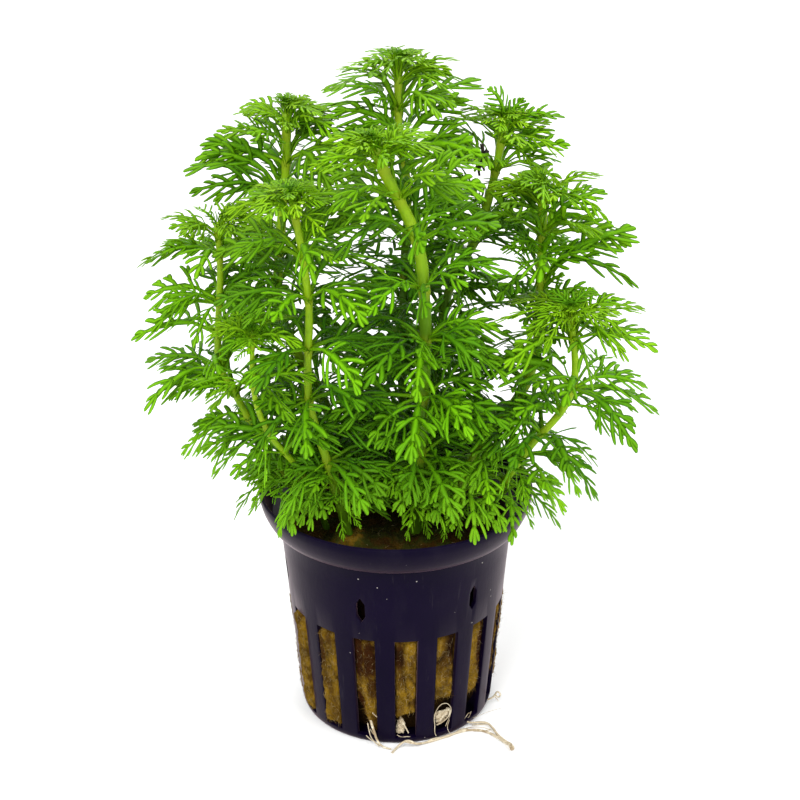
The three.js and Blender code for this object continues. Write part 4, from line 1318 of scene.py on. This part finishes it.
# a blackened shred of leaf that hangs in a whorl, as strands of points in mm
witheredBit = {
    "whorl": ("upper_right", 1),
    "strands": [[(17.8, 10.0, 115.0), (17.1, 9.4, 114.0), (16.8, 9.0, 113.0), (17.2, 9.0, 111.3)],
                [(16.9, 9.1, 113.2), (16.0, 8.9, 112.2), (15.3, 8.8, 111.2)],
                [(16.8, 9.0, 112.9), (16.2, 9.1, 111.5), (16.3, 9.0, 110.3)],
                [(16.7, 9.6, 116.4), (16.9, 9.3, 114.6), (16.8, 9.1, 113.4)]],
    "radius": (0.42, 0.20),
}
stemHabit = {
    "footRadius": 1.02,
    "tipRadius": 0.72,
    "spacing": 0.9,            # mm between the rings of the stem's mesh
    "swell": 0.10,
    "nodeRidge": 0.16,
    "sides": 14,
}


def routePoints(points, spacing):
    # a smooth curve through the points, with chord-length steps, as even points mm apart
    knots = [Vector(p) for p in points]
    knots = [knots[0] * 2 - knots[1]] + knots + [knots[-1] * 2 - knots[-2]]
    times = [0.0]
    for a, b in zip(knots, knots[1:]):
        times.append(times[-1] + math.sqrt((b - a).length))
    fine = []
    for i in range(1, len(knots) - 2):
        p = knots[i - 1:i + 3]
        t = times[i - 1:i + 3]
        for step in range(24):
            at = t[1] + (t[2] - t[1]) * step / 24
            a = [p[k] * (t[k + 1] - at) / (t[k + 1] - t[k]) + p[k + 1] * (at - t[k]) / (t[k + 1] - t[k])
                 for k in range(3)]
            b = [a[k] * (t[k + 2] - at) / (t[k + 2] - t[k]) + a[k + 1] * (at - t[k]) / (t[k + 2] - t[k])
                 for k in range(2)]
            fine.append(b[0] * (t[2] - at) / (t[2] - t[1]) + b[1] * (at - t[1]) / (t[2] - t[1]))
    fine.append(knots[-2])
    lengths = [0.0]
    for a, b in zip(fine, fine[1:]):
        lengths.append(lengths[-1] + (b - a).length)
    count = max(2, round(lengths[-1] / spacing))
    even, j = [], 0
    for i in range(count + 1):
        want = lengths[-1] * i / count
        while j < len(fine) - 2 and lengths[j + 1] < want:
            j += 1
        share = (want - lengths[j]) / max(1e-9, lengths[j + 1] - lengths[j])
        even.append(fine[j].lerp(fine[j + 1], min(1.0, max(0.0, share))))
    return even


def pointAtHeight(route, height):
    for a, b in zip(route, route[1:]):
        if b.z >= height:
            return a.lerp(b, (height - a.z) / (b.z - a.z)), (b - a).normalized()
    return route[-1].copy(), (route[-1] - route[-2]).normalized()


def stemRadiusAt(route, height, girth):
    share = (height - route[0].z) / (route[-1].z - route[0].z)
    return between(stemHabit["footRadius"], stemHabit["tipRadius"], share) * girth


def cadLeaves(node, route, low, high):
    # the corners of each leaf of the CAD node, away from its stem
    shape = bmesh.new()
    shape.from_mesh(frame["nodes"][node].data)
    bmesh.ops.remove_doubles(shape, verts=shape.verts, dist=0.01 * mm)
    others = []
    for vertex in shape.verts:
        place = vertex.co / mm
        near = min((place - p).length for p in route) < leafHabit["stemClear"]
        if near or not low < place.z < high:
            others.append(vertex)
    bmesh.ops.delete(shape, geom=others, context="VERTS")
    leaves = []
    seen = set()
    for first in shape.verts:
        if first in seen:
            continue
        island, stack = [], [first]
        seen.add(first)
        while stack:
            vertex = stack.pop()
            island.append(vertex.co / mm)
            for edge in vertex.link_edges:
                other = edge.other_vert(vertex)
                if other not in seen:
                    seen.add(other)
                    stack.append(other)
        if len(island) >= leafHabit["corners"]:
            leaves.append(island)
    shape.free()
    return leaves


def poseTo(tip, centre, axis, stemRadius):
    # a leaf's foot, tip and sideways direction, for a leaf from the stem to the tip
    outward = (tip - centre) - axis * (tip - centre).dot(axis)
    outward.normalize()
    sideways = axis.cross(outward).normalized()
    return {"foot": centre + outward * stemRadius * 0.6, "tip": tip, "sideways": sideways, "outward": outward}


def leafPose(island, centre, axis, stemRadius):
    # the same from the corners of a leaf of the CAD node, which also say how it is turned
    tip = max(island, key=lambda p: (p - centre).length)
    pose = poseTo(tip, centre, axis, stemRadius)
    others = [p for p in island if p is not tip]
    left, right = max(((a, b) for a in others for b in others), key=lambda pair: (pair[0] - pair[1]).length)
    sideways = (right - left).normalized()
    if sideways.dot(pose["sideways"]) < 0:
        sideways = -sideways
    pose["sideways"] = sideways
    return pose


def betweenPose(first, second, centre, axis, stemRadius, share):
    # a further leaf between two, as their mean turned a little
    reach = ((first["tip"] - centre).lerp(second["tip"] - centre, share)).normalized()
    length = ((first["tip"] - centre).length + (second["tip"] - centre).length) / 2 * dice.uniform(0.62, 1.0)
    reach = (reach + axis * dice.uniform(*leafHabit["stray"])).normalized()
    return poseTo(centre + reach * length, centre, axis, stemRadius)


def layLeaf(kind, pose, tone, youth, width=1.0, turning=leafHabit["turning"]):
    # the leaf form laid along its pose, arched and hanging, its face turned a little to the light
    points, faces, rim = kind
    high = smooth(66, 104, pose["foot"].z)
    sag = between(*leafHabit["sag"], high)
    arch = between(*leafHabit["arch"], high) * dice.uniform(0.5, 1.4)
    chord = pose["tip"] - pose["foot"]
    length = chord.length
    # the hanging tip has to end at the pose's tip, so the leaf starts out higher and longer
    for _ in range(3):
        length = (chord + Vector((0, 0, sag * length))).length
    forward = (chord + Vector((0, 0, sag * length))).normalized()
    upward = forward.cross(pose["sideways"]).normalized()
    if upward.z < 0 and abs(forward.z) < 0.85:
        upward = -upward
    face = upward.lerp(Vector(leafHabit["facing"]), dice.uniform(*turning))
    face = (face - forward * face.dot(forward)).normalized()
    face.rotate(Matrix.Rotation(math.radians(dice.gauss(0, leafHabit["rollScatter"])), 3, forward))
    sideways = face.cross(forward)
    along, across, up = np.clip(points[:, 0:1], 0, 1), points[:, 1:2] * width, points[:, 2:3]
    rise = arch * 3.3 * along ** 0.75 * (1 - along)
    laid = np.array(pose["foot"]) + length * (
        along * np.array(forward) + across * np.array(sideways)
        + (up - 0.5 * across * across) * np.array(face) + rise * np.array(upward)
    )
    laid[:, 2] -= sag * length * (points[:, 0] ** 2)
    colours = np.ones((len(points), 4))
    colours[:, 0] = tone
    colours[:, 1] = np.clip(youth + 0.15 * points[:, 0] + 0.5 * np.clip(1 - points[:, 0] / 0.35, 0, 1), 0, 1)
    colours[:, 2] = rim
    return laid, faces, colours


def leafShade(tip, height):
    # painted light and shade: leaves at the outside and on top are painted lit, those inside and low down
    # painted shaded, each with its own random tone
    outer = max(smooth(10, 34, math.hypot(tip.x, tip.y)), smooth(84, 116, height))
    shade = dice.uniform(0.0, 1.0) * (0.30 + 0.70 * outer) + 0.12 * outer
    return shade * (0.60 + 0.40 * smooth(54, 74, height))


def isClear(pose):
    # whether the outer half of a leaf keeps out of the clearings
    eye = Vector(studio["place"]) / mm
    for share in (0.7, 1.0):
        point = pose["foot"].lerp(pose["tip"], share)
        seen = eye + (point - eye) * (-eye.y / (point.y - eye.y))
        if any(math.hypot(seen.x - x, seen.z - z) < radius for x, z, radius in clearings):
            return False
    return True


def isAhead(pose):
    # whether a leaf points straight ahead and so would hide its stem
    turn = math.degrees(math.atan2(pose["outward"].y, pose["outward"].x))
    return abs((turn + 90 + 180) % 360 - 180) < leafHabit["ahead"]


def growWhorl(poses, centre, axis, stemRadius, height, order, clear):
    # the leaves of one whorl: those of the CAD node, and more between them
    east = Vector((1, 0, 0))
    north = axis.cross(east).normalized()

    def azimuth(pose):
        return math.atan2(pose["outward"].dot(north), pose["outward"].dot(east))

    while 1 < len(poses) < leafHabit["perWhorl"][order]:
        poses.sort(key=azimuth)
        following = poses[1:] + poses[:1]
        gaps = [(azimuth(after) - azimuth(pose)) % (2 * math.pi) for pose, after in zip(poses, following)]
        widest = max(range(len(gaps)), key=lambda i: (gaps[i], i))
        pair = poses[widest], following[widest]
        poses.append(betweenPose(*pair, centre, axis, stemRadius, dice.uniform(0.4, 0.6)))
        poses[-1]["further"] = True
    made = []
    for pose in poses:
        if "further" in pose and (height > clear and isAhead(pose) or not isClear(pose)):
            continue
        form = dice.choice(leafHabit["topForms"] if order < 2 else leafHabit["forms"])
        youth = max(0.0, 0.5 - 0.22 * order) * dice.uniform(0.4, 1.0) + 0.10 * dice.random()
        kind = dice.choice(leafKinds[form])
        width = dice.uniform(0.9, 1.15) * (1.0 if isClear(pose) else leafHabit["slim"])
        made.append(layLeaf(kind, pose, leafShade(pose["tip"], height), youth, width))
    return made


def poseAt(route, height, girth, tip):
    return poseTo(Vector(tip), *pointAtHeight(route, height), stemRadiusAt(route, height, girth))


def growTier(route, height, girth, clear, habit):
    # a ring of leaves spread round the stem, which the CAD doesn't have
    centre = pointAtHeight(route, height)[0]
    start = dice.uniform(0, 2 * math.pi)
    made = []
    for i in range(habit["leaves"]):
        turn = start + (i + dice.uniform(-habit["uneven"], habit["uneven"])) * 2 * math.pi / habit["leaves"]
        rise = math.radians(dice.uniform(*habit["rise"]))
        reach = Vector((math.cos(turn) * math.cos(rise), math.sin(turn) * math.cos(rise), math.sin(rise)))
        tip = centre + reach * dice.uniform(*habit["length"])
        overRim = math.hypot(tip.x, tip.y) > leafHabit["potReach"]
        tip.z = max(tip.z, habit["overRim"] if overRim else habit["overWool"])
        pose = poseAt(route, height, girth, tip)
        if height > clear and isAhead(pose) or not isClear(pose):
            continue
        kind = dice.choice(leafKinds[dice.choice(habit["forms"])])
        made.append(layLeaf(kind, pose, leafShade(tip, height), habit["youth"]))
    return made


def growBud(tip, axis, size):
    # young leaves round the growing tip, steeper and shorter towards its heart
    made = []
    east = Vector((1, 0, 0))
    north = axis.cross(east).normalized()
    for count, length, rise, lift, shade in budHabit["tiers"]:
        start = dice.uniform(0, 6.28)
        for i in range(count):
            turn = start + i * 2 * math.pi / count + dice.uniform(-0.2, 0.2)
            outward = (east * math.cos(turn) + north * math.sin(turn)).normalized()
            angle = math.radians(rise + dice.uniform(-8, 8))
            reach = outward * math.cos(angle) + axis * math.sin(angle)
            foot = tip + outward * 0.45 + axis * lift
            end = foot + reach * length * size * dice.uniform(0.82, 1.15)
            sideways = axis.cross(outward).normalized()
            pose = {"foot": foot, "tip": end, "sideways": sideways, "outward": outward}
            if not isClear(pose):
                continue
            kind = dice.choice(leafKinds["young"])
            # painted shade: tiers nearer the heart are darker, and less pale with youth
            tone = dice.uniform(0.5, 1.0) * shade
            youth = dice.uniform(0.2, 0.8) * shade * size
            made.append(layLeaf(kind, pose, tone, youth, 1.1))
    return made


def underDome(made, top):
    for laid, _, _ in made:
        away = np.hypot(laid[:, 0] - top.x, laid[:, 1] - top.y)
        limit = top.z - np.interp(away, budHabit["domeAt"], budHabit["domeFall"])
        laid[:, 2] = np.minimum(laid[:, 2], limit + budHabit["domeGive"] * (laid[:, 2] - limit))


def leafMesh(made):
    points, faces, colours = stackParts(made)
    mesh = bpy.data.meshes.new("leaves")
    mesh.from_pydata((points * mm).tolist(), [], faces.tolist())
    addTone(mesh, "leafTone", colours)
    mesh.polygons.foreach_set("use_smooth", [True] * len(mesh.polygons))
    leaves = addObject("leaves", mesh)
    paintPiece(leaves, leafBlade)
    return leaves


def drawWithered(points):
    shred = drawStrand(points, *witheredBit["radius"])
    paintPiece(shred, witheredLeaf)
    return shred


def drawStem(route, whorls, girth):
    # a tube along the route that swells between its nodes and has a ridge at each
    bpy.ops.mesh.primitive_circle_add(vertices=stemHabit["sides"], radius=mm, fill_type="NGON")
    stem = bpy.context.active_object
    bpy.ops.object.mode_set(mode="EDIT")
    bpy.ops.mesh.select_all(action="SELECT")
    for _ in route[1:]:
        bpy.ops.mesh.extrude_region_move(TRANSFORM_OT_translate={"value": (0, 0, mm)})
    turnOutward()
    tones = []
    for vertex in stem.data.vertices:
        i = min(len(route) - 1, round(vertex.co.z / mm))
        place = route[i]
        axis = (route[min(i + 1, len(route) - 1)] - route[max(i - 1, 0)]).normalized()
        radius = stemRadiusAt(route, place.z, girth)
        nearest = min(abs(place.z - whorl) for whorl in whorls)
        radius *= 1 + stemHabit["swell"] * smooth(1.0, 4.5, nearest)
        radius += stemHabit["nodeRidge"] * smooth(1.3, 0.2, nearest)
        if i == len(route) - 1:
            radius *= 0.5
        east = Vector((1, 0, 0))
        east = (east - axis * east.dot(axis)).normalized()
        north = axis.cross(east)
        turn = math.atan2(vertex.co.y, vertex.co.x)
        vertex.co = (place + (east * math.cos(turn) + north * math.sin(turn)) * radius) * mm
        # painted light and shade: lit at the outside and on top, shaded inside the plant and near the wool
        light = max(smooth(13, 25, math.hypot(place.x, place.y)), smooth(90, 108, place.z))
        tones.append((smooth(2.0, 0.3, nearest), light * smooth(44, 60, place.z), 0, 1))
    addTone(stem.data, "stemTone", tones)
    paintPiece(stem, stemSkin)
    for face in stem.data.polygons:
        face.use_smooth = True
    stem.select_set(False)
    return stem


def makeShoot(name, settings):
    girth, clear, whorls = settings["girth"], settings["clear"], settings["whorls"]
    route = routePoints(settings["stem"], stemHabit["spacing"])
    top = route[-1] + Vector((0, 0, settings["crown"]))
    total = 0
    for order, height in enumerate(whorls):
        last = order == len(whorls) - 1
        node = f"shoot_{name}_stem" if last else f"shoot_{name}_whorl_{order + 1}"
        centre, axis = pointAtHeight(route, height)
        radius = stemRadiusAt(route, height, girth)
        below, above = leafHabit["stemReach"] if last else (math.inf, math.inf)
        low, high = height - below, height + above
        poses = [leafPose(island, centre, axis, radius) for island in cadLeaves(node, route[::2], low, high)]
        made = growWhorl(poses, centre, axis, radius, height, order, clear)
        for inner in settings["inner"]:
            if order == min(range(len(whorls)), key=lambda k: abs(whorls[k] + 3 - inner)):
                made += growTier(route, inner, girth, clear, innerHabit)
        total += len(made)
        underDome(made, top)
        if not last:
            leaves = leafMesh(made)
            if (name, order) == witheredBit["whorl"]:
                leaves = joinPieces([leaves] + [drawWithered(points) for points in witheredBit["strands"]])
            finishPiece(leaves, f"leaves_{name}_{order + 1}", "leaf", node)
            continue
        bud = growBud(route[-1], (route[-1] - route[-3]).normalized(), settings["bud"])
        underDome(bud, top)
        made += bud
        for footHeight, *tip, form in settings["single"]:
            pose = poseAt(route, footHeight, girth, tip)
            kind = dice.choice(leafKinds[form])
            made.append(layLeaf(kind, pose, dice.uniform(0.4, 1.0), 0.1, 1.0, leafHabit["singleTurning"]))
        for drop in footHabit["drops"]:
            if height - drop >= footHabit["lowest"]:
                made += growTier(route, height - drop, girth, clear, footHabit)
        stem = joinPieces([drawStem(route, whorls, girth), leafMesh(made)])
        finishPiece(stem, f"stem_{name}", "stem", node)
    print("shoot", name, "made:", total, "leaves in whorls")


for shootName, shootSettings in shoots.items():
    makeShoot(shootName, shootSettings)

leafPieces = [piece for piece in bpy.data.objects if piece.name.startswith(("leaves_", "stem_"))]
print("triangles in leaves and stems:", sum(len(f.vertices) - 2 for p in leafPieces for f in p.data.polygons))

bpy.context.view_layer.update()
